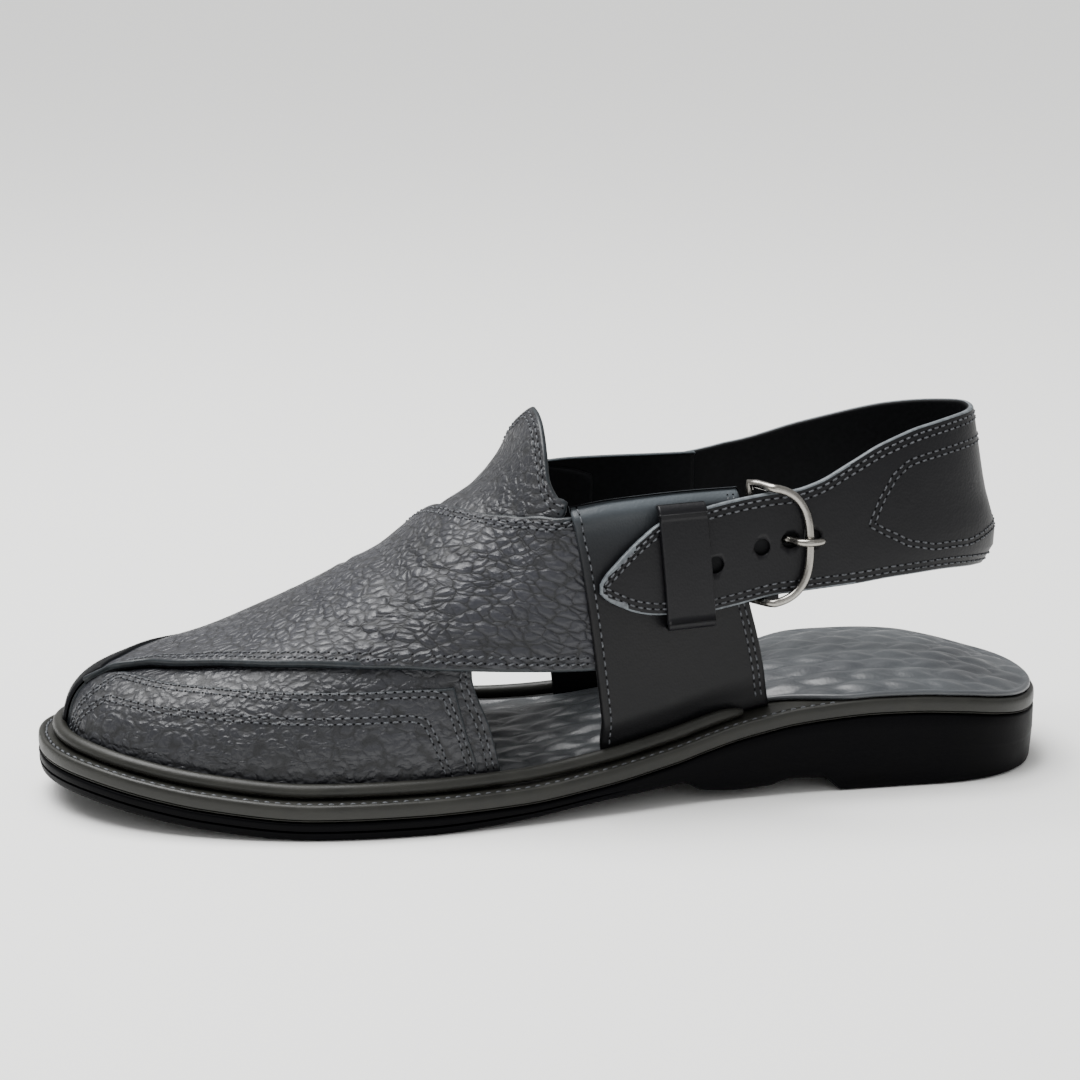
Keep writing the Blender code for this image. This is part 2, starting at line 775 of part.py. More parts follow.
def a_of(x):
    """The last's lengthwise place whose feather point lies at x, behind the ball."""
    inset_share = FEATHER_INSET / SOLE_LENGTH
    tip = x_of_station(1.0)
    covered = (x - tip) / (LAST_SHARE * SOLE_LENGTH * (1 - 2 * inset_share))
    rise = 1 + TIP_PACE
    return (covered + math.sqrt(covered**2 + 4 * rise * TIP_PACE * covered)) / (2 * rise)


def x_of_station(station):
    return rim_xy(station, 1, FEATHER_INSET)[0]


def wall_y(x, z, side):
    """How far out the last's side wall lies at a place beside the ankle."""
    a = a_of(x)
    return last_point(a, at_height(a, side, z))[1]


def panel_face(x, side):
    """Step of a panel's face over the last at x, held on past its rear edge."""
    front, rear = PANEL_FRONT[-1].a, PANEL_REAR[-1].a
    return panel_step(min(max((a_of(x) - front) / (rear - front), 0.0), 1.0), side)


def band_y(x, z, side, lift=0.0):
    """Out to the strap's inner face and a lift beyond it, beside the panels or behind them."""
    start = place_x(TURN_START)
    near = min(x, start)
    y = wall_y(near, z, side) + side * (panel_face(near, side) + STRAP_SEAT)
    if x > start:
        depth = (x - start) / (0.5 * SOLE_LENGTH - LOOP_BACK - start)
        y *= (1 - min(depth, 1.0) ** LOOP_POWER) ** (1 / LOOP_POWER)
    return y + side * lift


def band_point(turn, up):
    """A point of the strap's inner face."""
    z = mix(read(BANDS, turn, "low"), read(BANDS, turn, "high"), up) * PANEL_HEIGHT
    side = -1 if turn < 0 else 1
    start = place_x(TURN_START)
    if abs(turn) >= 1:
        x = start - (abs(turn) - 1) * RUN_REACH
        return x, band_y(x, z, side), z
    angle = 0.5 * math.pi * (1 - abs(turn))
    back = 0.5 * SOLE_LENGTH - LOOP_BACK - HEEL_STRAP_WALL - read(LEANS, up, "forward")
    x = start + (back - start) * math.sin(angle) ** (2 / LOOP_POWER)
    return x, band_y(start, z, side) * max(math.cos(angle), 0.0) ** (2 / LOOP_POWER), z


def hole_place(hole):
    return place_x(BUCKLE_BAR) + hole.behind_bar, hole.height * PANEL_HEIGHT


BAND_STEPS = 54
BAND_UPS = [0.0, 0.15, 0.35, 0.6, 0.8, 1.0]
BAND_CENTRE_Z = 0.8 * PANEL_HEIGHT


def make_heel_strap():
    first, last = BANDS[0].turn, BANDS[-1].turn
    turns = [BANDS[0].turn, BANDS[1].turn, BANDS[2].turn]
    turns += [mix(BANDS[2].turn, last, k / BAND_STEPS) for k in range(1, BAND_STEPS + 1)]
    rows = [[band_point(turn, up) for turn in turns] for up in BAND_UPS]
    strap = solid_sheet("heel_strap", [rows], HEEL_STRAP_WALL, SMOOTH_LEATHER, 1.0, BAND_CENTRE_Z)
    freeze(strap)
    for hole in HOLES:
        x, z = hole_place(hole)
        bpy.ops.mesh.primitive_cylinder_add(vertices=12, radius=0.5 * HOLE_WIDTH, depth=0.02,
                                            rotation=(0.5 * math.pi, 0.0, 0.0),
                                            location=(x, band_y(x, z, -1), z))
        cutter = bpy.context.object
        cutter.scale = (hole.length / HOLE_WIDTH, 1.0, 1.0)
        cutter.name = "hole_cutter"
        cutter.hide_render = True
        cutter.display_type = "WIRE"
        bpy.context.collection.objects.unlink(cutter)
        CUTTERS.objects.link(cutter)
        cut = strap.modifiers.new("hole", "BOOLEAN")
        cut.operation = "DIFFERENCE"
        cut.object = cutter
    return strap


KEEPER_WIDTH = 0.0130
KEEPER_WALL = 0.0015
Place = namedtuple("Place", "ahead height")
KEEPER_LOW = Place(0.4000, 0.570)       # middle of its lower and upper ends
KEEPER_HIGH = Place(0.4040, 0.972)
KEEPER_CORNER = 0.0016


def make_keeper():
    """A strip that stands off the panel at both ends and crosses over the strap."""
    ends = [(place_x(k.ahead), k.height * PANEL_HEIGHT) for k in (KEEPER_LOW, KEEPER_HIGH)]
    seat = -STRAP_SEAT + CLEARANCE
    crown = HEEL_STRAP_WALL + CLEARANCE + KEEPER_WALL
    profile = [(0.0, seat), (0.0, crown - KEEPER_CORNER)]
    profile += [(KEEPER_CORNER * (1 - math.cos(t)), crown - KEEPER_CORNER * (1 - math.sin(t)))
                for t in (math.pi / 4, math.pi / 2)]
    height = ends[1][1] - ends[0][1]
    middles = [(height * k / 5, crown) for k in range(1, 5)]
    rows = []
    for up, lift in profile + middles + [(height - u, w) for u, w in reversed(profile)]:
        share = up / height
        x, z = mix(ends[0][0], ends[1][0], share), ends[0][1] + up
        rows.append([(x + dx, band_y(x + dx, z, -1, lift), z)
                     for dx in (-0.5 * KEEPER_WIDTH, 0.0, 0.5 * KEEPER_WIDTH)])
    return solid_sheet("keeper_loop", [rows], KEEPER_WALL, SMOOTH_LEATHER,
                       centre_z=0.5 * (ends[0][1] + ends[1][1]))


WIRE = 0.0012               # radius of the buckle's wire
BUCKLE_REACH = 0.0155       # from the bar to the far side of the frame
BUCKLE_LOW = 0.633          # wire centres below and above the strap, as shares of the panel height
BUCKLE_HIGH = 1.006
BAR_DEPTH = 0.0034          # bar's centre inwards of the strap's inner face
RIM_LIFT = HEEL_STRAP_WALL + 1.6 * CLEARANCE + WIRE
FRAME_POWER = 2.8
FRAME_BEND = 0.36           # share of the reach over which the frame comes out from the bar


def bar_y(z):
    """The straight bar's centre line."""
    low, high = BUCKLE_LOW * PANEL_HEIGHT, BUCKLE_HIGH * PANEL_HEIGHT
    x = place_x(BUCKLE_BAR)
    return mix(band_y(x, low, -1, -BAR_DEPTH), band_y(x, high, -1, -BAR_DEPTH), (z - low) / (high - low))


def buckle_point(angle):
    """Centre line of the wire; the bar joins its two ends at angles of -90 and 90 degrees."""
    low, high = BUCKLE_LOW * PANEL_HEIGHT, BUCKLE_HIGH * PANEL_HEIGHT
    reach = max(math.cos(angle), 0.0) ** (2 / FRAME_POWER)
    rise = math.copysign(abs(math.sin(angle)) ** (2 / FRAME_POWER), math.sin(angle))
    x = place_x(BUCKLE_BAR) + BUCKLE_REACH * reach
    z = 0.5 * (low + high) + 0.5 * (high - low) * rise
    rim_y = band_y(x, z, -1, RIM_LIFT)
    return x, mix(bar_y(z), rim_y, ease(reach / FRAME_BEND)), z


def make_buckle_frame():
    points = [buckle_point(math.radians(angle)) for angle in range(-90, 91, 9)]
    top, bottom = points[-1], points[0]
    points += [tuple(mix(t, b, k / 5) for t, b in zip(top, bottom)) for k in range(1, 5)]
    return cord_curve("buckle_frame", points, WIRE, STEEL, cyclic=True)


PRONG = 0.0011
PRONG_TIP = 0.0040          # how far the prong passes the frame's far side
PRONG_SKIM = 0.0002         # how far the prong's line lies off the strap's faces where it passes through


def make_prong():
    hole_x, z = hole_place(PRONG_HOLE)
    bar_x = place_x(BUCKLE_BAR)
    rim_x = bar_x + BUCKLE_REACH
    start = bar_x + WIRE + TAB_WALL + 2 * CLEARANCE + PRONG
    over = RIM_LIFT + WIRE + CLEARANCE + PRONG
    inside = -PRONG - CLEARANCE
    route = [
        (start, -BAR_DEPTH + 0.0012),
        (mix(start, hole_x - 0.0022, 0.6), 1.5 * inside),
        (hole_x - 0.0010, PRONG_SKIM),
        (hole_x + 0.0010, HEEL_STRAP_WALL + PRONG_SKIM),
        (hole_x + 0.0026, mix(HEEL_STRAP_WALL + PRONG_SKIM, over, 0.75)),
        (rim_x - 0.0005, over),
        (rim_x + 0.0015, over - PRONG_SKIM),
        (rim_x + PRONG_TIP, over - 0.0016),
    ]
    points = [(x, band_y(x, z, -1, lift), z) for x, lift in route]
    return cord_curve("buckle_prong", points, PRONG, STEEL)


TAB_WALL = 0.0014
TAB_HEIGHT = 0.020
TAB_REACH = 0.012           # how far the tab runs in behind the panel
PANEL_BACK = STRAP_SEAT + PANEL_STEP + JOIN     # from the strap's inner face in to the panel's


def make_tab():
    """Leather folded round the bar; its end lies against the panel's inner face."""
    bar_x = place_x(BUCKLE_BAR)
    middle = hole_place(PRONG_HOLE)[1]
    radius = WIRE + CLEARANCE
    behind_panel = BAR_DEPTH - PANEL_BACK - 2 * CLEARANCE
    path = [(bar_x + radius * math.cos(turn), radius * math.sin(turn))
            for turn in (math.radians(angle) for angle in range(120, -97, -24))]
    path += [(bar_x - 0.4 * TAB_REACH, behind_panel - TAB_WALL), (bar_x - TAB_REACH, behind_panel - TAB_WALL)]
    levels = (middle - 0.5 * TAB_HEIGHT, middle, middle + 0.5 * TAB_HEIGHT)
    rows = [[(x, bar_y(z) - lift, z) for x, lift in path] for z in levels]
    return thicken(add_object("buckle_tab", mesh_from_grids("buckle_tab", [rows]), SMOOTH_LEATHER),
                   TAB_WALL, 1.0)


GUARD_WALL = 0.0012
GUARD_REACH = 0.0088        # from the bar to its free rear edge
GUARD_TOP = 0.90            # edges as shares of the panel height; the lower one falls to its rear corner
GUARD_LOW_FRONT = 0.668
GUARD_LOW_REAR = 0.606


def make_guard():
    """A flap of leather behind the tab and the buckle, which keeps both off the foot."""
    bar_x = place_x(BUCKLE_BAR)
    behind_tab = PANEL_BACK + 3 * CLEARANCE + 2 * TAB_WALL - BAR_DEPTH
    behind_prong = 2 * PRONG + 6 * CLEARANCE
    reach = (-TAB_REACH, 0.0, WIRE + CLEARANCE + TAB_WALL, GUARD_REACH)
    rows = []
    for up in (0.0, 0.5, 1.0):
        row = []
        for ahead in reach:
            back = (ahead - reach[0]) / (reach[-1] - reach[0])
            z = mix(mix(GUARD_LOW_FRONT, GUARD_LOW_REAR, back), GUARD_TOP, up) * PANEL_HEIGHT
            x = bar_x + ahead
            y = band_y(x, z, -1, -behind_prong) if ahead == GUARD_REACH else bar_y(z) + behind_tab
            row.append((x, y, z))
        rows.append(row)
    return solid_sheet("buckle_guard", [rows], GUARD_WALL, SMOOTH_LEATHER, centre_z=BAND_CENTRE_Z)


make_outsole()
make_welt()
make_bead()
make_insole()
make_upper()
make_heel_strap()
make_keeper()
make_buckle_frame()
make_prong()
make_tab()
make_guard()
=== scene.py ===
import math

import bpy
import numpy as np
from mathutils import Matrix, Vector
from mathutils.kdtree import KDTree


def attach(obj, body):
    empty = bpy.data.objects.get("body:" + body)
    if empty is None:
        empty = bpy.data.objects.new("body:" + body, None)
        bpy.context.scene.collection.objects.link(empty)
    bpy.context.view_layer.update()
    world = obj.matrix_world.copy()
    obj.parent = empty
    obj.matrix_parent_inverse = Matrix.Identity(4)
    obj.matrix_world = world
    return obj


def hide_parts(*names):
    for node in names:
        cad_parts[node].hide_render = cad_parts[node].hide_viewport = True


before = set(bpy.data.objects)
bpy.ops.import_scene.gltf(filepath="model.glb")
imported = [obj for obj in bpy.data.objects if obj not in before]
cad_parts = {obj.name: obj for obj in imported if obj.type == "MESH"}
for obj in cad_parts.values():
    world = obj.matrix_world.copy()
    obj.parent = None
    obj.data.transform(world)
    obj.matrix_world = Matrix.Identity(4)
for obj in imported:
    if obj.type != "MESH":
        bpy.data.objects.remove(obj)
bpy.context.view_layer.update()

# Outsole
# A moulded rubber unit, near black: low heel, arch lobe and a thin forefoot with a step line
# round its edge. It is one piece, cemented under the grey welt.
SOLE_LENGTH = 0.292
BALL_WIDTH = 0.105
HEEL_HEIGHT = 0.0219
FORE_THICKNESS = 0.0053
WELT_THICKNESS = 0.0049
TOE_SPRING = 0.008
CLEARANCE = 0.0003

# Along the sole from the heel: half widths and centre line, as shares of the ball width
WIDTHS = [
    # along outer inner centre
    (0.00, 0.345, 0.335, 0.000),
    (0.25, 0.345, 0.318, 0.000),
    (0.36, 0.362, 0.300, 0.000),
    (0.47, 0.415, 0.330, 0.000),
    (0.58, 0.472, 0.420, 0.005),
    (0.66, 0.502, 0.485, 0.010),
    (0.76, 0.515, 0.505, 0.020),
    (0.88, 0.510, 0.490, 0.035),
    (1.00, 0.500, 0.480, 0.045),
]
HEEL_SPAN, HEEL_POWER = 0.13, 2.2
TOE_SPAN, TOE_POWER = 0.36, 2.25
PROFILE = [
    # along spring stack under
    (0.000, 0.00, 0.66, 0.10),
    (0.030, 0.00, 0.69, 0.00),
    (0.070, 0.00, 0.81, 0.00),
    (0.107, 0.00, 0.92, 0.00),
    (0.160, 0.00, 0.99, 0.00),
    (0.200, 0.00, 1.00, 0.00),
    (0.232, 0.00, 0.975, 0.00),
    (0.250, 0.00, 0.95, 0.175),
    (0.285, 0.00, 0.89, 0.205),
    (0.308, 0.00, 0.82, 0.130),
    (0.340, 0.00, 0.71, 0.110),
    (0.378, 0.00, 0.53, 0.160),
    (0.396, 0.00, 0.44, 0.280),
    (0.420, 0.00, 0.35, 0.250),
    (0.484, 0.00, 0.16, 0.180),
    (0.565, 0.00, 0.02, 0.060),
    (0.650, 0.00, 0.00, 0.000),
    (0.760, 0.00, 0.00, 0.000),
    (0.860, 0.27, 0.00, 0.000),
    (0.920, 0.58, 0.00, 0.000),
    (0.960, 0.82, 0.00, 0.000),
    (1.000, 1.00, 0.00, 0.000),
]


def curve(rows, column):
    """A column of a table as a function of its first column, smooth and with no overshoot."""
    xs = np.array([row[0] for row in rows])
    ys = np.array([row[column] for row in rows])
    slopes = np.diff(ys) / np.diff(xs)
    tangents = np.concatenate([slopes[:1], np.zeros(len(xs) - 2), slopes[-1:]])
    for k in range(1, len(xs) - 1):
        before, after = slopes[k - 1], slopes[k]
        if before * after > 0:
            tangents[k] = 2 * before * after / (before + after)

    def at(x):
        x = np.clip(np.asarray(x, float), xs[0], xs[-1])
        i = np.clip(np.searchsorted(xs, x, side="right") - 1, 0, len(xs) - 2)
        step = xs[i + 1] - xs[i]
        t = (x - xs[i]) / step
        return ((2 * t**3 - 3 * t**2 + 1) * ys[i] + (t**3 - 2 * t**2 + t) * step * tangents[i]
                + (3 * t**2 - 2 * t**3) * ys[i + 1] + (t**3 - t**2) * step * tangents[i + 1])

    return at


outer_half, inner_half, centre_line = (curve(WIDTHS, k) for k in (1, 2, 3))
spring_of, stack_of, under_of = (curve(PROFILE, k) for k in (1, 2, 3))


def closing(station, span, power):
    """Share of the sole's width that is left near an end, which closes in a rounded curve."""
    depth = np.clip((span - station) / span, 0.0, 1.0)
    return (1 - depth**power) ** (1 / power)


def outline(station, side, inset=0.0):
    """Points of the sole's outline moved inwards; station runs from heel (0) to toe (1)."""
    station, side = np.broadcast_arrays(np.asarray(station, float), side)
    share = inset / SOLE_LENGTH
    along = share + (1 - 2 * share) * station
    half = np.where(side < 0, outer_half(along), inner_half(along)) * BALL_WIDTH - inset
    half = half * closing(station, HEEL_SPAN, HEEL_POWER) * closing(1 - station, TOE_SPAN, TOE_POWER)
    return (0.5 - along) * SOLE_LENGTH, centre_line(along) * BALL_WIDTH + side * half - outline_shift


outline_shift = 0.0
every = np.linspace(0, 1, 201)
outline_shift = 0.5 * (outline(every, -1)[1].min() + outline(every, 1)[1].max())


def along_of(x):
    return 0.5 - np.asarray(x) / SOLE_LENGTH


def centre_y(along):
    return centre_line(along) * BALL_WIDTH - outline_shift


def ground_z(along):
    return TOE_SPRING * spring_of(along)


def under_z(along):
    return ground_z(along) + HEEL_HEIGHT * under_of(along)


def parting_z(along):
    return ground_z(along) + FORE_THICKNESS + (HEEL_HEIGHT - FORE_THICKNESS) * stack_of(along)


def deck_z(along):
    return parting_z(along) + WELT_THICKNESS


def linear(hex_colour):
    """An sRGB hex colour as the linear values that a shader takes."""
    values = [int(hex_colour[k:k + 2], 16) / 255 for k in (1, 3, 5)]
    return tuple(v / 12.92 if v <= 0.04045 else ((v + 0.055) / 1.055) ** 2.4 for v in values) + (1.0,)


def start_material(name, base, roughness, **sockets):
    """A material with a Principled shader; sockets are set on the shader itself."""
    material = bpy.data.materials.new(name)
    material.use_nodes = True
    shader = material.node_tree.nodes["Principled BSDF"]
    shader.inputs["Base Color"].default_value = linear(base)
    shader.inputs["Roughness"].default_value = roughness
    for socket, value in sockets.items():
        shader.inputs[socket.replace("_", " ")].default_value = value
    return material, shader


def add(material, kind, links=(), **settings):
    """A node with its settings; links are (input, source socket) pairs."""
    node = material.node_tree.nodes.new("ShaderNode" + kind)
    for key, value in settings.items():
        if hasattr(node, key):
            setattr(node, key, value)
        else:
            node.inputs[key.replace("_", " ")].default_value = value
    for target, source in links:
        material.node_tree.links.new(node.inputs[target], source)
    return node


def ramp(material, source, stops):
    """A colour ramp over a value, from (place, hex colour or grey) stops."""
    node = add(material, "ValToRGB", [("Fac", source)])
    elements = node.color_ramp.elements
    for k, (place, colour) in enumerate(stops):
        element = elements[k] if k < 2 else elements.new(place)
        element.position = place
        element.color = linear(colour) if isinstance(colour, str) else (colour, colour, colour, 1.0)
    return node.outputs["Color"]


def per_metre(millimetres):
    """Pattern scale whose repeat has this real size."""
    return 1000.0 / millimetres


def surfaced(name, base, roughness, tone, colours=None, shine=None, relief=None, **sockets):
    """A material whose colour and roughness wander with a noise, over a fine bump.

    tone is the noise's (repeat in mm, detail); colours and shine are ramp stops over it. relief is the
    bump's (repeat in mm, detail, strength, height in metres); with no detail it is made of cells.
    """
    material, shader = start_material(name, base, roughness, **sockets)
    links = material.node_tree.links
    place = add(material, "TexCoord").outputs["Object"]

    def pattern(repeat, detail):
        scale = per_metre(repeat)
        if detail is None:
            return add(material, "TexVoronoi", [("Vector", place)], Scale=scale).outputs["Distance"]
        return add(material, "TexNoise", [("Vector", place)], Scale=scale, Detail=detail).outputs["Fac"]

    wander = pattern(*tone)
    if colours:
        links.new(shader.inputs["Base Color"], ramp(material, wander, colours))
    if shine:
        links.new(shader.inputs["Roughness"], ramp(material, wander, shine))
    if relief:
        repeat, detail, strength, height = relief
        bump = add(material, "Bump", [("Height", pattern(repeat, detail))], Strength=strength,
                   Distance=height)
        links.new(shader.inputs["Normal"], bump.outputs["Normal"])
    return material


# Moulded rubber: near black and satin, with only a dull shine along its edges and faint mould haze
sole_rubber = surfaced("moulded_black_rubber", "#020203", 0.5, (14, 4.0),
                       [(0.3, "#010102"), (0.7, "#030305")], [(0.3, 0.36), (0.7, 0.52)],
                       (0.6, 3.0, 0.12, 0.0003), IOR=1.5, Specular_IOR_Level=0.05)


def mesh_piece(name, points, faces, materials, face_materials=None):
    """A smooth shaded object from points and faces that rides on the shoe's one body."""
    mesh = bpy.data.meshes.new(name)
    mesh.from_pydata([tuple(p) for p in points], [], [tuple(int(k) for k in f) for f in faces])
    for material in materials:
        mesh.materials.append(material)
    if face_materials is not None:
        mesh.polygons.foreach_set("material_index", np.asarray(face_materials, np.int32))
    mesh.polygons.foreach_set("use_smooth", np.ones(len(mesh.polygons), bool))
    mesh.validate()
    piece = bpy.data.objects.new(name, mesh)
    bpy.context.scene.collection.objects.link(piece)
    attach(piece, "root")
    return piece


# Places along the sole, closer together within these shares of it at heel and toe
HEEL_FINE, TOE_FINE = 0.03, 0.06
HEEL_STATIONS = HEEL_FINE * (1 - np.cos(np.linspace(0, math.pi / 2, 14)))
TOE_STATIONS = 1 - TOE_FINE * (1 - np.sin(np.linspace(0, math.pi / 2, 20)))
EVEN_STATIONS = np.linspace(HEEL_FINE, 1 - TOE_FINE, 150)
SOLE_STATIONS = np.concatenate([HEEL_STATIONS[:-1], EVEN_STATIONS[:-1], TOE_STATIONS])
LOOP_STATIONS = np.concatenate([SOLE_STATIONS, SOLE_STATIONS[-2:0:-1]])
LOOP_SIDES = np.where(np.arange(len(LOOP_STATIONS)) < len(SOLE_STATIONS), -1.0, 1.0)


def ease(share):
    """A share from 0 to 1, eased in and out."""
    share = np.clip(share, 0.0, 1.0)
    return share * share * (3 - 2 * share)


STEP_START = (0.44, 0.54)   # places along the sole between which the forefoot's groove sets in


def sole_loop(inset, height, groove=0.0):
    """A closed loop round the sole: outer side from heel to toe, inner side back."""
    sets_in = ease((LOOP_STATIONS - STEP_START[0]) / (STEP_START[1] - STEP_START[0]))
    x, y = outline(LOOP_STATIONS, LOOP_SIDES, inset + groove * sets_in)
    return np.stack([x, y, height(along_of(x)) + 0 * x], axis=1)


def loft(name, loops, material):
    """A solid skin through closed loops of equal count, closed at both ends by rows across."""
    count, levels = len(loops[0]), len(loops)
    points = np.concatenate(loops)
    faces = []
    for level in range(levels - 1):
        for k in range(count):
            n = (k + 1) % count
            low = level * count
            faces.append((low + k, low + count + k, low + count + n, low + n))
    for level, flip in ((0, False), (levels - 1, True)):
        base = level * count
        for k in range(count // 2):
            ring = [k, k + 1, (count - k - 1) % count, (count - k) % count]
            face = [base + v for i, v in enumerate(ring) if v not in ring[:i]]
            faces.append(tuple(reversed(face)) if flip else tuple(face))
    return mesh_piece(name, points, faces, [material])


SHARP_ANGLE = math.radians(50)
STEP_GROOVE = 0.0009
EDGE = 0.0006               # the radius of the rubber's edges


def sole_level(share, lift=0.0):
    """Height along the sole at a share of the outsole's side, and a lift above it."""
    return lambda along: under_z(along) + (parting_z(along) - under_z(along)) * share + lift


outsole = loft("outsole_unit", [
    sole_loop(0.0090, sole_level(0.0, 0.0004)),
    sole_loop(0.0050, sole_level(0.0, 0.0000)),
    sole_loop(0.0019, sole_level(0.0)),
    sole_loop(0.0010, sole_level(0.0, 0.0002)),
    sole_loop(0.0005, sole_level(0.0, EDGE)),
    sole_loop(0.0003, sole_level(0.22)),
    sole_loop(0.0001, sole_level(0.44)),
    sole_loop(0.0001, sole_level(0.47), 0.0003),
    sole_loop(0.0001, sole_level(0.50), STEP_GROOVE),
    sole_loop(0.0000, sole_level(0.53), 0.0006),
    sole_loop(0.0000, sole_level(0.56), 0.0002),
    sole_loop(0.0000, sole_level(0.80)),
    sole_loop(0.0000, sole_level(1.0, -EDGE)),
    sole_loop(0.0002, sole_level(1.0, -0.0002)),
    sole_loop(EDGE, sole_level(1.0)),
], sole_rubber)
outsole.data.set_sharp_from_angle(angle=SHARP_ANGLE)
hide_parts("outsole")

# Welt
# A grey rubber strip between sole and upper, glued all round and stitched in a channel on its
# ledge. At the heel it shows as a smooth band.
welt_rubber = surfaced("grey_welt_rubber", "#232320", 0.45, (9, 5.0), [(0.3, "#1c1c19"), (0.7, "#262622")],
                       [(0.3, 0.38), (0.7, 0.52)], (0.7, 4.0, 0.2, 0.0003), IOR=1.5, Specular_IOR_Level=0.3)

LEDGE_WIDTH = 0.004
BEAD_RADIUS = 0.002
CHANNEL_INSET = 0.0021
CHANNEL_HALF = 0.0006
CHANNEL_DEPTH = 0.0004
LINE_SHARE = 0.13           # a fine parting line low on the welt's side


def welt_level(share, lift=0.0):
    """Height along the sole at a share of the welt's side, and a lift above it."""
    return lambda along: parting_z(along) + CLEARANCE + (WELT_THICKNESS - CLEARANCE) * share + lift


welt = loft("welt_strip", [
    sole_loop(EDGE, welt_level(0.0)),
    sole_loop(0.0002, welt_level(0.0, 0.0002)),
    sole_loop(0.0001, welt_level(LINE_SHARE, -0.0002)),
    sole_loop(0.0005, welt_level(LINE_SHARE)),
    sole_loop(0.0001, welt_level(LINE_SHARE, 0.0002)),
    sole_loop(0.0000, welt_level(0.30)),
    sole_loop(0.0000, welt_level(0.60)),
    sole_loop(0.0001, welt_level(1.0, -0.0008)),
    sole_loop(0.0004, welt_level(1.0, -0.0003)),
    sole_loop(0.0009, welt_level(1.0)),
    sole_loop(CHANNEL_INSET - CHANNEL_HALF, welt_level(1.0)),
    sole_loop(CHANNEL_INSET - 0.5 * CHANNEL_HALF, welt_level(1.0, -CHANNEL_DEPTH)),
    sole_loop(CHANNEL_INSET + 0.5 * CHANNEL_HALF, welt_level(1.0, -CHANNEL_DEPTH)),
    sole_loop(CHANNEL_INSET + CHANNEL_HALF, welt_level(1.0)),
    sole_loop(0.0060, welt_level(1.0)),
    sole_loop(0.0120, welt_level(1.0)),
], welt_rubber)
welt.data.set_sharp_from_angle(angle=SHARP_ANGLE)
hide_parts("welt")

# Waxed polyester thread, twisted: pale grey, dull, sunk a little at both ends of each stitch
thread = surfaced("waxed_grey_thread", "#5c5e61", 0.6, (0.6, 2.0), [(0.35, "#3a3c3f"), (0.65, "#5c5e62")],
                  IOR=1.5, Specular_IOR_Level=0.3)
# Needle holes: flat dark disks just off the leather between the stitches, painted shade for the punched holes
needle_hole = start_material("needle_hole_shade", "#08080a", 0.9, Specular_IOR_Level=0.1)[0]

STITCH_RINGS = [
    # share of the stitch, then its radius and lift as shares of the thread's radius
    (0.00, 0.45, -0.9), (0.20, 0.90, 0.25), (0.50, 1.00, 0.55), (0.80, 0.90, 0.25), (1.00, 0.45, -0.9),
]
HOLE_SKIM = 0.00003         # a needle hole's painted shade, a flat dark disk, lies this far off the leather
HOLE_STRETCH = 1.25         # and is this much longer than wide
HOLE_SHARE = 1.1            # its radius over the thread's


class Seams:
    """Stitches and the painted shade of needle holes of one piece, gathered into one mesh."""

    def __init__(self):
        self.points, self.faces, self.kinds = [], [], []

    def stitch(self, start, end, normal, radius, sides=6):
        base = len(self.points)
        along = (end - start) / np.linalg.norm(end - start)
        across = np.cross(normal, along)
        normal = np.cross(along, across)
        for share, size, lift in STITCH_RINGS:
            middle = start + (end - start) * share + normal * lift * radius
            for k in range(sides):
                turn = 2 * math.pi * k / sides
                out = math.cos(turn) * across + math.sin(turn) * normal
                self.points.append(middle + radius * size * out)
        for ring in range(len(STITCH_RINGS) - 1):
            for k in range(sides):
                n = (k + 1) % sides
                low = base + ring * sides
                self.faces.append((low + k, low + n, low + sides + n, low + sides + k))
                self.kinds.append(0)

    # A flat dark disk just off the leather: painted shade for a needle hole
    def hole(self, middle, normal, along, radius, sides=7):
        base = len(self.points)
        across = np.cross(normal, along)
        middle = middle + normal * HOLE_SKIM
        self.points.append(middle)
        for k in range(sides):
            turn = 2 * math.pi * k / sides
            out = HOLE_STRETCH * math.cos(turn) * along + math.sin(turn) * across
            self.points.append(middle + radius * out)
        for k in range(sides):
            self.faces.append((base, base + 1 + k, base + 1 + (k + 1) % sides))
            self.kinds.append(1)

    def row(self, points, normals, pitch=0.0027, length=0.0019, radius=0.00027, slant=0.0):
        """Stitches along a line of points with the surface's normals."""
        points, normals = np.asarray(points), np.asarray(normals)
        steps = np.concatenate([[0], np.cumsum(np.linalg.norm(np.diff(points, axis=0), axis=1))])
        count = max(int(steps[-1] / pitch), 1)
        marks = steps[-1] * (np.arange(count) + 0.5) / count

        def at(mark, values):
            return np.array([np.interp(mark, steps, values[:, k]) for k in range(3)])

        for mark in marks:
            start, end = at(mark - 0.5 * length, points), at(mark + 0.5 * length, points)
            normal = at(mark, normals)
            normal /= np.linalg.norm(normal)
            along = (end - start) / np.linalg.norm(end - start)
            across = np.cross(normal, along)
            self.stitch(start - across * slant, end + across * slant, normal, radius)
            between = at(mark + 0.5 * steps[-1] / count, points)
            self.hole(between, normal, along, HOLE_SHARE * radius)

    def pair(self, line, normals, gap, **looks):
        """Two rows, each half the gap from a line."""
        across = np.cross(normals, np.gradient(line, axis=0))
        across /= np.linalg.norm(across, axis=1)[:, None]
        for offset in (0.5 * gap, -0.5 * gap):
            self.row(line + across * offset, normals, **looks)

    def finish(self, name, slot):
        piece = mesh_piece(name, self.points, self.faces, [thread, needle_hole], self.kinds)
        return piece


WELT_SEAM_HEEL = 0.235      # the seam starts here, behind the heel's band
WELT_STITCH = {"pitch": 0.0029, "length": 0.0020, "radius": 0.00040}
seams = Seams()
for side in (-1, 1):
    station = np.linspace(WELT_SEAM_HEEL, 1.0, 260)
    x, y = outline(station, side, CHANNEL_INSET)
    line = np.stack([x, y, deck_z(along_of(x)) - CHANNEL_DEPTH], axis=1)
    seams.row(line, np.tile((0.0, 0.0, 1.0), (len(x), 1)), **WELT_STITCH)
seams.finish("welt_seam", "welt_rubber")

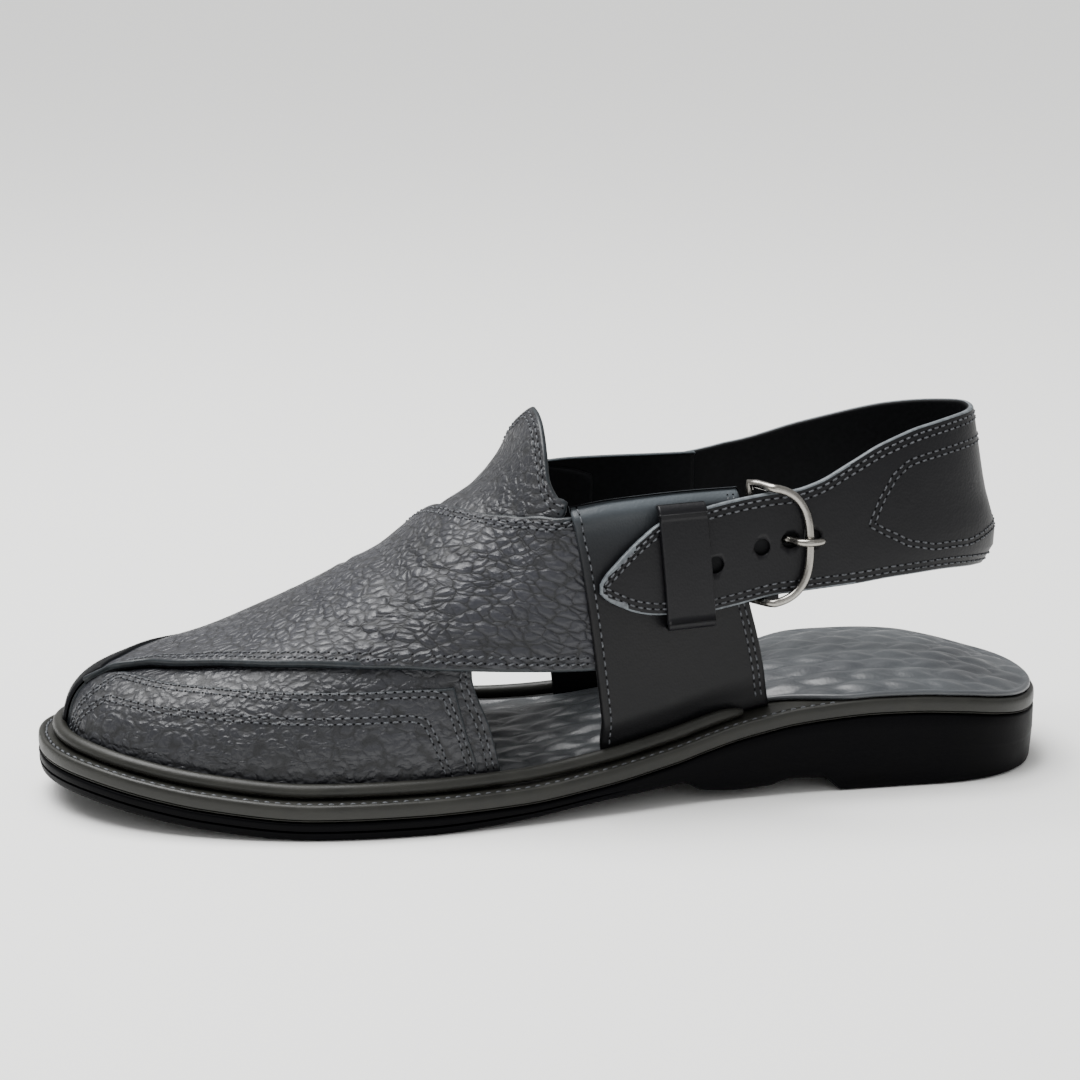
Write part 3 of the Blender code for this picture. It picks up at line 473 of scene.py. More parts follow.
# Bead
# A rolled rubber rand lies on the ledge against the upper, from side panel to side panel. It
# shares the welt's grey and hides the seam.
BEAD_END = 0.325
BEAD_STEPS = 150
BEAD_ROUND = 6              # steps over which each end rounds off, and how blunt its tip stays
BEAD_BLUNT = 0.15


def tube(name, centres, radii, material, sides=14):
    """A round cord along points, with a radius at each; its ends close to a point."""
    centres = np.asarray(centres, float)
    tangents = np.gradient(centres, axis=0)
    tangents /= np.linalg.norm(tangents, axis=1)[:, None]
    up = np.array((0.0, 0.0, 1.0))
    first = np.cross(tangents, up)
    first /= np.linalg.norm(first, axis=1)[:, None]
    second = np.cross(first, tangents)
    turns = np.linspace(0, 2 * math.pi, sides, endpoint=False)
    ring = (np.cos(turns)[None, :, None] * first[:, None, :]
            + np.sin(turns)[None, :, None] * second[:, None, :])
    points = (centres[:, None, :] + ring * np.asarray(radii)[:, None, None]).reshape(-1, 3)
    faces = []
    for row in range(len(centres) - 1):
        for k in range(sides):
            n = (k + 1) % sides
            faces.append((row * sides + k, row * sides + n, (row + 1) * sides + n, (row + 1) * sides + k))
    faces.append(tuple(range(sides - 1, -1, -1)))
    faces.append(tuple((len(centres) - 1) * sides + k for k in range(sides)))
    return mesh_piece(name, points, faces, [material])


bead_share = np.sin(0.5 * math.pi * np.linspace(0, 1, BEAD_STEPS))
bead_station = BEAD_END + (1 - BEAD_END) * bead_share
bead_inset = LEDGE_WIDTH + BEAD_RADIUS
x_out, y_out = outline(bead_station, -1, bead_inset)
x_in, y_in = outline(bead_station[-2::-1], 1, bead_inset)
x, y = np.concatenate([x_out, x_in]), np.concatenate([y_out, y_in])
end_share = np.minimum(np.arange(len(x)), np.arange(len(x))[::-1]) / BEAD_ROUND
radii = BEAD_RADIUS * np.sqrt(1 - (1 - np.clip(end_share + BEAD_BLUNT, 0, 1)) ** 2)
bead_points = np.stack([x, y, deck_z(along_of(x)) + CLEARANCE + radii], axis=1)
bead = tube("welt_bead_cord", bead_points, radii, welt_rubber)
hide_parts("welt_bead")

# Footbed
# Padded leather sock on a thin foam layer, grey with a soft sheen, embossed in wavy pillows.
# It is cemented to the welt and lies free behind the side panels.
FEATHER_INSET = LEDGE_WIDTH + 2 * BEAD_RADIUS + CLEARANCE
STRAP_WALL = 0.0019
JOIN = 0.0008
INSOLE_SIDE_INSET = FEATHER_INSET + STRAP_WALL + JOIN + 2 * CLEARANCE
INSOLE_HEEL_INSET = 0.0012
INSOLE_END = 0.03           # the inner loops close on a line that ends this far from heel and toe
FREE_HEEL = (0.215, 0.295)  # places along the sole where the footbed passes under the panels
INSOLE_EDGE = 0.0018
INSOLE_CROWN = 0.0028
PILLOW_LENGTH = 0.013
PILLOW_WIDTH = 0.0085
PILLOW_DEPTH = 0.0013
PILLOW_SHARPNESS = 0.7
PILLOW_WAVE = (0.12, 9)     # the pillows' rows wave by this share of a pillow, and how often
PILLOW_START = 0.06         # the edge stays plain up to this share of the way inwards
CROWN_FADE = (0.3, 0.3)     # from here, over this share of the sole, the footbed's crown sinks
CROWN_LOSS = 0.6            # by this much
CROWN_POWER = 2.6

footbed_leather = surfaced("embossed_footbed_leather", "#62666a", 0.42, (22, 5.0),
                           [(0.3, "#2f3236"), (0.72, "#404447")], None, (0.9, None, 0.25, 0.0002),
                           IOR=1.5, Coat_Weight=0.2, Coat_Roughness=0.35, Sheen_Weight=0.1)


def insole_loop(extra, lift, crown, inwards):
    """A closed loop of the footbed, an extra inset from its edge and then a share of the way inwards."""
    held = ease((LOOP_STATIONS - FREE_HEEL[0]) / (FREE_HEEL[1] - FREE_HEEL[0]))
    inset = INSOLE_HEEL_INSET + (INSOLE_SIDE_INSET - INSOLE_HEEL_INSET) * held + extra
    edge = [outline(s, d, i) for s, d, i in zip(LOOP_STATIONS, LOOP_SIDES, inset)]
    edge_x, edge_y = np.array([e[0] for e in edge]), np.array([e[1] for e in edge])
    middle_x = np.clip(edge_x, INSOLE_END - 0.5 * SOLE_LENGTH, 0.5 * SOLE_LENGTH - INSOLE_END)
    x = edge_x + (middle_x - edge_x) * inwards
    y = edge_y + (centre_y(along_of(middle_x)) - edge_y) * inwards
    heel_share = 1 - CROWN_LOSS * ease((along_of(x) - CROWN_FADE[0]) / CROWN_FADE[1])
    z = deck_z(along_of(x)) + lift + crown * heel_share
    row = y / PILLOW_WIDTH
    wave = x / PILLOW_LENGTH + 0.5 * (np.floor(row) % 2) + PILLOW_WAVE[0] * np.sin(PILLOW_WAVE[1] * row)
    pillow = np.abs(np.sin(math.pi * wave) * np.sin(math.pi * row)) ** PILLOW_SHARPNESS
    z = z - PILLOW_DEPTH * (1 - pillow) * ease(inwards / PILLOW_START)
    return np.stack([x, y, z], axis=1)


INWARDS = [0.02, 0.05] + list(np.linspace(0.08, 0.96, 34))


def crown_of(inwards):
    """Height of the footbed's padding at a share of the way inwards."""
    return INSOLE_CROWN * (1 - (1 - inwards) ** CROWN_POWER)


insole = loft("quilted_footbed", [
    insole_loop(EDGE, CLEARANCE, 0.0, 0.0),
    insole_loop(0.0, CLEARANCE + 0.0004, 0.0, 0.0),
    insole_loop(0.0, INSOLE_EDGE - 0.0005, 0.0, 0.0),
    insole_loop(0.0002, INSOLE_EDGE - 0.0002, 0.0, 0.0),
    insole_loop(EDGE, INSOLE_EDGE, 0.0, 0.0),
] + [insole_loop(EDGE, INSOLE_EDGE, crown_of(t), t) for t in INWARDS], footbed_leather)
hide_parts("insole")

# Inner strap with the point
# Full-grain leather, pebbled by drumming, with a black lining. Its front foot is on the outer
# side under the toe overlay; it crosses under the other strap and rises to the point.
INSTEP_HEIGHT = 0.107
PANEL_HEIGHT = 0.0883
TOE_REACH = 0.026
LAST_SHARE = 0.68           # the last's share of the sole's length, and how fast its places leave the toe
TIP_PACE = 0.30
RIDGE = [
    # along height power
    (0.295, 1.120, 3.0),
    (0.430, 1.095, 3.0),
    (0.500, 1.062, 2.8),
    (0.526, 0.988, 2.5),
    (0.548, 0.880, 2.3),
    (0.572, 0.802, 2.2),
    (0.600, 0.752, 2.1),
    (0.623, 0.700, 2.1),
    (0.658, 0.624, 2.0),
    (0.688, 0.580, 2.0),
    (0.726, 0.523, 2.0),
    (0.770, 0.466, 2.0),
    (0.805, 0.423, 2.0),
    (0.842, 0.388, 2.1),
    (0.884, 0.354, 2.1),
    (1.000, 0.325, 2.1),
]
ridge_height, ridge_power = curve(RIDGE, 1), curve(RIDGE, 2)


def feather(a, side):
    """Foot of the last's wall; a runs from the toe tip (0) to behind the side panels (1)."""
    a = np.asarray(a, float)
    pace = a * a * (1 + TIP_PACE) / (a + TIP_PACE)
    x, y = outline(1 - LAST_SHARE * pace, side, FEATHER_INSET)
    return x, y, deck_z(along_of(x)) + CLEARANCE


def last_point(a, w):
    """The last's surface: w is -1 at the outer feather line, 0 on the ridge, 1 at the inner one."""
    a, w = np.broadcast_arrays(np.asarray(a, float), np.asarray(w, float))
    foot_x, foot_y, foot_z = feather(a, np.where(w < 0, -1, 1))
    pace = a * a * (1 + TIP_PACE) / (a + TIP_PACE)
    top_x = feather(a, np.ones(a.shape))[0] + TOE_REACH * (1 - pace) ** 3
    along = along_of(top_x)
    top_y, top_z, power = centre_y(along), ridge_height(along) * INSTEP_HEIGHT, ridge_power(along)
    angle = 0.5 * math.pi * (1 - np.abs(w))
    across = 1 - np.clip(np.cos(angle), 0, 1) ** (2 / power)
    up = np.clip(np.sin(angle), 0, 1) ** (2 / power)
    step = 0.001
    rise = ridge_height(along_of(top_x + step)) - ridge_height(along_of(top_x - step))
    slope = rise * INSTEP_HEIGHT / (2 * step)
    x = foot_x + (top_x - foot_x) * across
    z = foot_z + (top_z - foot_z) * up - slope * (top_x - x) * across**3
    return np.stack([x, foot_y + (top_y - foot_y) * across, z], axis=-1)


STEP = 0.002                # the step in a surface's places that its normals are measured over


def across_surface(surface, u, v):
    """A vector square to a surface, from its slopes at a place; its length and side are left as they come."""
    return np.cross(surface(u + STEP, v) - surface(u - STEP, v), surface(u, v + STEP) - surface(u, v - STEP))


def unit(normal, wrong):
    """Normals of length one, turned round where they are wrong."""
    normal = np.where(wrong[..., None], -normal, normal)
    return normal / np.linalg.norm(normal, axis=-1)[..., None]


def last_normal(a, w):
    """The last's normal, level across at the toe's tip, upwards, and outwards low on its sides."""
    a, w = np.broadcast_arrays(np.asarray(a, float), np.asarray(w, float))
    normal = across_surface(last_point, np.maximum(a, STEP), np.clip(w, STEP - 1, 1 - STEP))
    normal[..., 1] = np.where(a < STEP, 0.0, normal[..., 1])
    return unit(normal, (normal[..., 2] < 0) | ((np.abs(w) > 0.5) & (normal[..., 1] * w < 0)))


def at_height(a, side, z):
    """The place across the last, on one side, where its surface has height z."""
    a, z = np.broadcast_arrays(np.asarray(a, float), np.asarray(z, float))
    low, high = np.zeros(a.shape), np.ones(a.shape)
    for _ in range(24):
        middle = 0.5 * (low + high)
        above = last_point(a, side * middle)[..., 2] > z
        low, high = np.where(above, middle, low), np.where(above, high, middle)
    return side * 0.5 * (low + high)


FLUSH = 1.6 * BEAD_RADIUS   # height up to which a layer lies flush, and over which it then climbs
CLIMB = 0.010
FLUSH_SHARE = 0.004


def layer_point(a, w, step):
    """A point of a layer that stands a step proud of the last and comes flush at its foot."""
    a, w = np.broadcast_arrays(np.asarray(a, float), np.asarray(w, float))
    point = last_point(a, w)
    foot = feather(a, np.where(w < 0, -1, 1))[2]
    rise = step * (FLUSH_SHARE + (1 - FLUSH_SHARE) * ease((point[..., 2] - foot - FLUSH) / CLIMB))
    return point + last_normal(a, w) * np.asarray(rise)[..., None]


def pebbled(name, cell_mm, base, lit, relief_mm, stretch, tilt, wander, creased):
    """Drummed full-grain leather: raised scales with painted shade darkening the creases between, glossier on
    their tops.

    The scales are drawn out along the shoe and tilt down towards the heel, as the strap's pull draws them;
    they wander by shares of a cell. creased mixes creases round flat scales into round ones.
    """
    material, shader = start_material(name, base, 0.42, IOR=1.5, Specular_IOR_Level=0.42, Coat_Weight=0.12,
                                      Coat_Roughness=0.35)
    links = material.node_tree.links
    place = add(material, "TexCoord").outputs["Object"]
    pulled = add(material, "Mapping", [("Vector", place)], vector_type="TEXTURE", Rotation=(0.0, tilt, 0.0),
                 Scale=(stretch, 1.0, 1.0)).outputs["Vector"]
    waves = add(material, "TexNoise", [("Vector", pulled)], Scale=per_metre(2.4 * cell_mm), Detail=2.5)
    bent = add(material, "MixRGB", [("Color1", pulled), ("Color2", waves.outputs["Color"])],
               Fac=wander * cell_mm / 1000).outputs["Color"]
    scales = add(material, "TexVoronoi", [("Vector", bent)], feature="SMOOTH_F1", Smoothness=0.3,
                 Scale=per_metre(cell_mm)).outputs["Distance"]
    borders = add(material, "TexVoronoi", [("Vector", bent)], feature="DISTANCE_TO_EDGE",
                  Scale=per_metre(cell_mm)).outputs["Distance"]
    round_top = ramp(material, scales, [(0.1, 1.0), (0.4, 0.8), (0.62, 0.3), (0.85, 0.0)])
    flat_top = ramp(material, borders, [(0.0, 0.0), (0.1, 0.38), (0.25, 0.75), (0.5, 1.0)])
    dome = add(material, "MixRGB", [("Color1", round_top), ("Color2", flat_top)],
               Fac=creased).outputs["Color"]
    wrinkles = add(material, "TexVoronoi", [("Vector", bent)], feature="SMOOTH_F1", Smoothness=0.4,
                   Scale=per_metre(0.45 * cell_mm)).outputs["Distance"]
    fine = ramp(material, wrinkles, [(0.1, 1.0), (0.8, 0.0)])
    pores = add(material, "TexNoise", [("Vector", place)], Scale=per_metre(0.5), Detail=3.0).outputs["Fac"]
    with_fine = add(material, "Math", [(0, fine), (2, dome)], operation="MULTIPLY_ADD")
    with_fine.inputs[1].default_value = 0.24
    height = add(material, "Math", [(0, pores), (2, with_fine.outputs["Value"])], operation="MULTIPLY_ADD")
    height.inputs[1].default_value = 0.12
    tone = add(material, "TexNoise", [("Vector", place)], Scale=per_metre(35), Detail=4.0).outputs["Fac"]
    worn = ramp(material, tone, [(0.3, base), (0.75, lit)])
    # Painted shade: the valleys between the scales are darkened towards near black
    valley_shade = ramp(material, dome, [(0.05, 1.0), (0.45, 0.0)])
    colour = add(material, "MixRGB", [("Fac", valley_shade), ("Color1", worn)], Color2=linear("#0c0d10"))
    links.new(shader.inputs["Base Color"], colour.outputs["Color"])
    links.new(shader.inputs["Roughness"], ramp(material, dome, [(0.2, 0.64), (0.8, 0.38)]))
    bump = add(material, "Bump", [("Height", height.outputs["Value"])], Strength=1.0,
               Distance=relief_mm / 1000)
    links.new(shader.inputs["Normal"], bump.outputs["Normal"])
    return material


# Grain of the point's strap and the toe: small round pebbles
grain_leather = pebbled("pebbled_full_grain_leather", 2.1, "#191a1e", "#26272c", 0.42, 1.35, 0.1, 2.4, 0.15)

# Lining: smooth pigskin dyed black and matt; its near-black colour is also painted shade, so the inside reads
# as a dark hollow
lining_dye_and_shade = surfaced("black_lining_dye_and_shade", "#08090b", 0.6, (1.2, 4.0),
                          [(0.3, "#050608"), (0.7, "#0c0d10")], None, (1.2, 4.0, 0.2, 0.0003),
                          IOR=1.45, Specular_IOR_Level=0.15)

# Edge paint: a thick acrylic coat on the cut edges, dark blue grey, with a soft gloss
edge_paint = surfaced("edge_paint", "#1b1f22", 0.4, (2.5, 3.0), [(0.3, "#171b1e"), (0.7, "#24292d")],
                      None, (2.5, 3.0, 0.25, 0.0003), IOR=1.5, Specular_IOR_Level=0.35)

WELD = 0.00002              # points closer than this are one


def welded(grids):
    """Points and quads of grids of points, joined where their points coincide."""
    points, faces, start = [], [], 0
    for grid in grids:
        rows, columns = grid.shape[:2]
        index = start + np.arange(rows * columns).reshape(rows, columns)
        points.append(grid.reshape(-1, 3))
        corners = [index[:-1, :-1], index[:-1, 1:], index[1:, 1:], index[1:, :-1]]
        faces.append(np.stack(corners, axis=-1).reshape(-1, 4))
        start += rows * columns
    points, faces = np.concatenate(points), np.concatenate(faces)
    _, first, inverse = np.unique(np.round(points / WELD).astype(np.int64), axis=0, return_index=True,
                                  return_inverse=True)
    faces = inverse.reshape(-1)[faces]
    kept = []
    for face in faces:
        ring = [int(v) for i, v in enumerate(face) if v not in face[:i]]
        if len(ring) > 2:
            kept.append(ring)
    return points[first], kept


def sheet_normals(points, faces):
    """Normals at the points of a sheet, each the mean of its faces'."""
    normals = np.zeros(points.shape)
    for face in faces:
        corners = points[face]
        normal = np.cross(corners[2] - corners[0], corners[-1] - corners[1])
        normals[face] += normal
    lengths = np.linalg.norm(normals, axis=1)
    return normals / np.maximum(lengths, 1e-12)[:, None]


def open_edges(faces):
    """Directed edges that only one face uses."""
    seen = {}
    for face in faces:
        for a, b in zip(face, face[1:] + face[:1]):
            if (b, a) in seen:
                del seen[(b, a)]
            else:
                seen[(a, b)] = True
    return list(seen)


def tree_of(points):
    """A tree that finds the nearest of these points."""
    tree = KDTree(len(points))
    for k, point in enumerate(points):
        tree.insert(point, k)
    tree.balance()
    return tree


LOW_MIDDLE = 0.02           # height of a line inside the shoe that a low face looks away from
HIGH_MIDDLE = 0.04          # and that a high face looks away from
RIM_SEARCH = 0.002          # how far past the edge's radius the rim is looked for
EDGE_BEGINS = 0.98          # a face nearer to the rim than this share of the edge's radius,
EDGE_PAINTED = 0.65         # with a corner nearer than this share, is painted


def leather_piece(name, grids, wall, edge, materials, centre_z=LOW_MIDDLE, shape=None, outwards=False):
    """A cut piece of leather from its visible face: a wall under it and rounded edges all round.

    materials are those of the face, of the lining and of the cut edge. shape lifts the face; a piece that
    goes outwards has its inner face given instead.
    """
    points, faces = welded(grids)
    normals = sheet_normals(points, faces)
    away = points - np.array((0.0, 0.0, centre_z))
    if np.sum(normals[:, 1] * away[:, 1] + normals[:, 2] * away[:, 2]) < 0:
        faces = [face[::-1] for face in faces]
        normals = -normals
    if outwards:
        points = points + normals * wall
    rim = open_edges(faces)
    rim_points = sorted({v for pair in rim for v in pair})
    tree = tree_of(points[rim_points])
    beside = {v: [] for v in rim_points}
    for a, b in rim:
        beside[a].append(b)
        beside[b].append(a)
    depth = np.full(len(points), edge)
    for v, point in enumerate(points):
        _, k, distance = tree.find(point)
        if distance > 3 * edge + RIM_SEARCH:
            continue
        near = rim_points[k]
        best = distance
        for other in beside[near]:
            along = points[other] - points[near]
            t = np.clip(np.dot(point - points[near], along) / max(np.dot(along, along), 1e-12), 0, 1)
            best = min(best, np.linalg.norm(point - points[near] - along * t))
        depth[v] = min(best, edge)
    dip = edge - np.sqrt(np.maximum(edge**2 - (edge - depth) ** 2, 0))
    lift = shape(points) if shape else 0.0
    top = points + normals * (lift - dip)[:, None] if shape else points - normals * dip[:, None]
    bottom = points - normals * (wall - dip)[:, None]
    count = len(points)
    skin = [list(face) for face in faces] + [[v + count for v in reversed(face)] for face in faces]
    kinds = [0] * len(faces) + [1] * len(faces)
    near_rim = depth < edge * EDGE_BEGINS
    for k, face in enumerate(faces):
        if near_rim[face].sum() >= 2 and depth[face].min() < edge * EDGE_PAINTED:
            kinds[k] = 2
    for a, b in rim:
        skin.append([b, a, a + count, b + count])
        kinds.append(2)
    return mesh_piece(name, np.concatenate([top, bottom]), skin, materials, kinds)


def spread(length, edge, pitch):
    """Shares along a length: close together within an edge's radius of both ends, then even."""
    near = [0.0, 0.1 * edge, 0.3 * edge, 0.6 * edge, 1.0 * edge]
    body = np.linspace(1.4 * edge, length - 1.4 * edge, max(int(length / pitch), 3))
    far = [length - v for v in reversed(near)]
    return np.concatenate([near, body, far]) / length


OVER_LOW_EDGE = [
    # a height
    (0.000, 0.290), (0.016, 0.328), (0.054, 0.339), (0.162, 0.355), (0.278, 0.374), (0.365, 0.388),
    (0.459, 0.400), (0.550, 0.402), (0.703, 0.387), (0.789, 0.377), (0.860, 0.370),
]
UNDER_LOW_EDGE = [
    (0.000, 0.060), (0.200, 0.100), (0.340, 0.340), (0.500, 0.412), (0.703, 0.396), (0.860, 0.372),
]
OVER_REAR = [
    # share from the lower edge to the ridge, a
    (0.000, 0.860), (0.290, 0.860), (0.352, 0.771), (0.386, 0.754), (0.473, 0.728), (0.588, 0.701),
    (0.717, 0.671), (0.823, 0.651), (1.000, 0.634),
]
UNDER_REAR = [
    (0.000, 0.860), (0.300, 0.860), (0.380, 0.775), (0.480, 0.757), (0.600, 0.746), (0.750, 0.739),
    (0.900, 0.742), (1.000, 0.753),
]
OVER_FRONT = [
    # w a
    (0.00, 0.634), (0.30, 0.618), (0.60, 0.622), (0.80, 0.650), (1.00, 0.683),
]
UNDER_FRONT = [
    (0.00, 0.753), (0.38, 0.750), (0.48, 0.758), (0.545, 0.772), (0.62, 0.700), (0.72, 0.644), (0.88, 0.667),
    (1.00, 0.683),
]
OVER_TOE = [
    # share from the toe's middle line down to the inner feather line, a
    (0.00, 0.000), (0.26, 0.130), (0.60, 0.210), (1.00, 0.260),
]
STRAP_EDGE = 0.0008
MESH_PITCH = 0.0017
STRAP_RUN = 0.19            # a strap's real length, width and turn round the toe, for an even mesh
STRAP_GIRTH = 0.075
TOE_TURN = 0.03


def toe_edge_of(foot, low_edge):
    """The place across the toe's middle line where a strap's lower edge comes round."""
    return abs(float(at_height(0.0, -foot, low_edge[0][1] * INSTEP_HEIGHT)))


def strap_places(foot, low_edge, rear_reach, front_sweep, toe=None):
    """Grids of (a, w) for a crossing strap: rear foot on one side, front foot on side foot."""
    low, rear, front = curve(low_edge, 1), curve(rear_reach, 1), curve(front_sweep, 1)
    columns = spread(STRAP_RUN, STRAP_EDGE, MESH_PITCH)
    ups = spread(STRAP_GIRTH, STRAP_EDGE, MESH_PITCH)
    ups = np.append(ups[ups < 1 - 1.2 * STRAP_EDGE / STRAP_GIRTH], 1.0)
    a = rear(ups)[:, None] * columns[None, :]
    edge = at_height(a, -foot, low(a) * INSTEP_HEIGHT)
    rear_grid = np.stack([a, edge * (1 - ups[:, None])], axis=-1)
    toe_edge = toe_edge_of(foot, low_edge)
    w = toe_edge * (1 - ups[::-1])
    start = 0 * w
    if toe:
        more = spread(TOE_TURN, STRAP_EDGE, MESH_PITCH)
        more = more[more > 1.2 * STRAP_EDGE / TOE_TURN]
        w = np.concatenate([w, toe_edge + (1 - toe_edge) * more])
        start = np.concatenate([start, curve(toe, 1)(more)])
    a = start[:, None] + (front(w) - start)[:, None] * columns[None, :]
    front_grid = np.stack([a, foot * w[:, None] + 0 * a], axis=-1)
    return [rear_grid, front_grid]


CREASE_STEPS = 24
CREASE_TAPER = np.sin(math.pi * np.linspace(0.04, 0.96, CREASE_STEPS)) ** 0.6
RIDGE_PLACE = 1.9           # in widths from the trough, and its height over the trough's depth
RIDGE_SHARE = 0.45


def pressed(creases, surface):
    """Depth of listed creases at points: soft troughs, each with a low ridge beside it."""
    middles, marks = [], []
    for route, width, depth in creases:
        a, w = along_line(route, CREASE_STEPS)
        middles.extend(surface(a, w))
        marks.extend((width, depth * t) for t in CREASE_TAPER)
    tree = tree_of(middles)

    def lift(points):
        depths = np.zeros(len(points))
        for v, point in enumerate(points):
            _, k, distance = tree.find(point)
            width, depth = marks[k]
            if distance < 4 * width:
                share = distance / width
                ridge = RIDGE_SHARE * math.exp(-(share - RIDGE_PLACE) ** 2)
                depths[v] = depth * (ridge - math.exp(-share * share))
        return depths

    return lift


def on_layer(step):
    """The face of a layer as a surface of its own."""
    return lambda a, w: layer_point(a, w, step)


def facing(surface, u, v, centre_z):
    """Normals of a surface, turned away from the shoe's middle line."""
    point, normal = surface(u, v), across_surface(surface, u, v)
    return unit(normal, normal[..., 1] * point[..., 1] + normal[..., 2] * (point[..., 2] - centre_z) < 0)


def sew(seams, surface, u, v, du, dv, distance, centre_z=LOW_MIDDLE, **looks):
    """A row of stitches on a surface, a real distance from a line of places in the direction (du, dv)."""
    u, v = np.broadcast_arrays(np.asarray(u, float), np.asarray(v, float))
    step = 0.5 * STEP
    pace = np.linalg.norm(surface(u + du * step, v + dv * step) - surface(u, v), axis=-1) / step
    u, v = u + du * distance / pace, v + dv * distance / pace
    seams.row(surface(u, v), facing(surface, u, v, centre_z), **looks)


def along_line(points, count):
    """Even steps along a polyline of places."""
    points = np.asarray(points, float)
    steps = np.concatenate([[0], np.cumsum(np.linalg.norm(np.diff(points, axis=0), axis=1))])
    marks = np.linspace(0, steps[-1], count)
    return [np.interp(marks, steps, points[:, k]) for k in range(points.shape[1])]


SEAM_PAIR = (0.0020, 0.0037)        # a seam pair's distances from the cut edge
PANEL_SEWN = 0.79                   # the place a where a strap's lower seams pass under the panel

under_face = on_layer(0.0)
# Creases at the root of the point: route as places (a, w), width and depth in metres
UNDER_CREASES = [
    ([(0.690, -0.152), (0.707, -0.269), (0.722, -0.365)], 0.0011, 0.00045),
    ([(0.713, -0.130), (0.719, -0.230), (0.734, -0.330)], 0.0009, 0.00035),
    ([(0.680, 0.150), (0.702, 0.260), (0.715, 0.380)], 0.0011, 0.00040),
]
under_places = strap_places(-1, UNDER_LOW_EDGE, UNDER_REAR, UNDER_FRONT)
under_strap = leather_piece("inner_strap", [layer_point(g[..., 0], g[..., 1], 0.0) for g in under_places],
                            STRAP_WALL, STRAP_EDGE, [grain_leather, lining_dye_and_shade, edge_paint],
                            shape=pressed(UNDER_CREASES, under_face))
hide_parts("upper")

under_low, under_rear, under_front = curve(UNDER_LOW_EDGE, 1), curve(UNDER_REAR, 1), curve(UNDER_FRONT, 1)
seams = Seams()
for inset in SEAM_PAIR:
    w = np.linspace(0.0, 0.535, 60)
    sew(seams, under_face, under_front(w), -w, -1, 0, inset, centre_z=HIGH_MIDDLE)
    w = np.linspace(0.70, 0.97, 40)
    sew(seams, under_face, under_front(w), -w, -1, 0, inset)
    up = np.linspace(0.40, 1.0, 60)
    a = under_rear(up)
    w = at_height(a, 1, under_low(a) * INSTEP_HEIGHT) * (1 - up)
    sew(seams, under_face, a, w, -1, 0, inset, centre_z=HIGH_MIDDLE)
    a = np.linspace(0.42, PANEL_SEWN, 120)
    w = at_height(a, 1, under_low(a) * INSTEP_HEIGHT)
    sew(seams, under_face, a, w, 0, -1, inset)
seams.finish("inner_strap_seams", "grain_leather")

# Toe overlay
# The outer front foot of the inner strap carries a second layer of the same leather, sewn
# down with two pairs of seams along its top and rear.
OVERLAY_STEP = 0.0011
OVERLAY_INNER = 0.32        # the place a where it ends on the inner side
OVERLAY_RUN = 0.15          # its real length and height on the outer side, for an even mesh
OVERLAY_RISE = 0.03
OVERLAY_TOP = [
    (0.000, 0.320), (0.060, 0.335), (0.356, 0.342), (0.553, 0.354), (0.660, 0.362),
]
OVERLAY_REAR = [
    (0.0, 0.660), (0.5, 0.636), (1.0, 0.620),
]
overlay_top, overlay_rear = curve(OVERLAY_TOP, 1), curve(OVERLAY_REAR, 1)


def overlay_places(side, columns, ups):
    """A grid of (a, w) for one side of the overlay, from the toe back and from its foot up."""
    reach = overlay_rear(ups) if side < 0 else np.full(len(ups), OVERLAY_INNER)
    a = reach[:, None] * columns[None, :]
    foot = feather(a, side)[2]
    z = foot + (overlay_top(a) * INSTEP_HEIGHT - foot) * ups[:, None]
    w = np.where(ups[:, None] > 0, at_height(a, side, z), float(side))
    return np.stack([a, w], axis=-1)


# Creases where the toe was drawn over the last: route as places (a, w), width and depth
TOE_CREASES = [
    ([(0.124, -0.738), (0.117, -0.835)], 0.0010, 0.00030),
    ([(0.186, -0.648), (0.191, -0.775)], 0.0010, 0.00030),
    ([(0.227, -0.650), (0.241, -0.767)], 0.0012, 0.00035),
    ([(0.285, -0.762), (0.321, -0.817), (0.366, -0.815)], 0.0011, 0.00030),
    ([(0.417, -0.738), (0.456, -0.796), (0.509, -0.819)], 0.0012, 0.00030),
]
overlay_ups = spread(OVERLAY_RISE, STRAP_EDGE, MESH_PITCH)
overlay_layer = on_layer(OVERLAY_STEP)
overlay_grids = [overlay_layer(places[..., 0], places[..., 1]) for places in (
    overlay_places(-1, spread(OVERLAY_RUN, STRAP_EDGE, MESH_PITCH), overlay_ups),
    overlay_places(1, spread(TOE_TURN, STRAP_EDGE, MESH_PITCH), overlay_ups))]
overlay = leather_piece("toe_overlay", overlay_grids, OVERLAY_STEP + JOIN, STRAP_EDGE,
                        [grain_leather, lining_dye_and_shade, edge_paint],
                        shape=pressed(TOE_CREASES, overlay_layer))
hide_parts("upper")

# Corners of the two seam pairs, as (a, share of the overlay's height)
OVERLAY_SEAMS = [
    [(0.012, 0.05), (0.030, 0.55), (0.062, 0.955), (0.200, 0.955), (0.400, 0.955), (0.590, 0.955),
     (0.607, 0.925), (0.618, 0.70), (0.634, 0.30), (0.645, 0.06)],
    [(0.030, 0.04), (0.050, 0.45), (0.090, 0.740), (0.220, 0.735), (0.400, 0.735), (0.560, 0.735),
     (0.580, 0.700), (0.590, 0.55), (0.604, 0.28), (0.615, 0.06)],
]


def overlay_face(a, share):
    """The overlay's face on the outer side, by place a and share of its height."""
    foot = feather(a, -1)[2]
    z = foot + (overlay_top(a) * INSTEP_HEIGHT - foot) * share
    return layer_point(a, at_height(a, -1, z), OVERLAY_STEP)


PAIR_GAP = 0.0016
seams = Seams()
for corners in OVERLAY_SEAMS:
    a, share = along_line(corners, 220)
    line = overlay_face(a, share)
    normals = facing(overlay_face, a, share, LOW_MIDDLE)
    seams.pair(line, normals, PAIR_GAP, pitch=0.0025, length=0.0018)
seams.finish("toe_overlay_seams", "grain_leather")

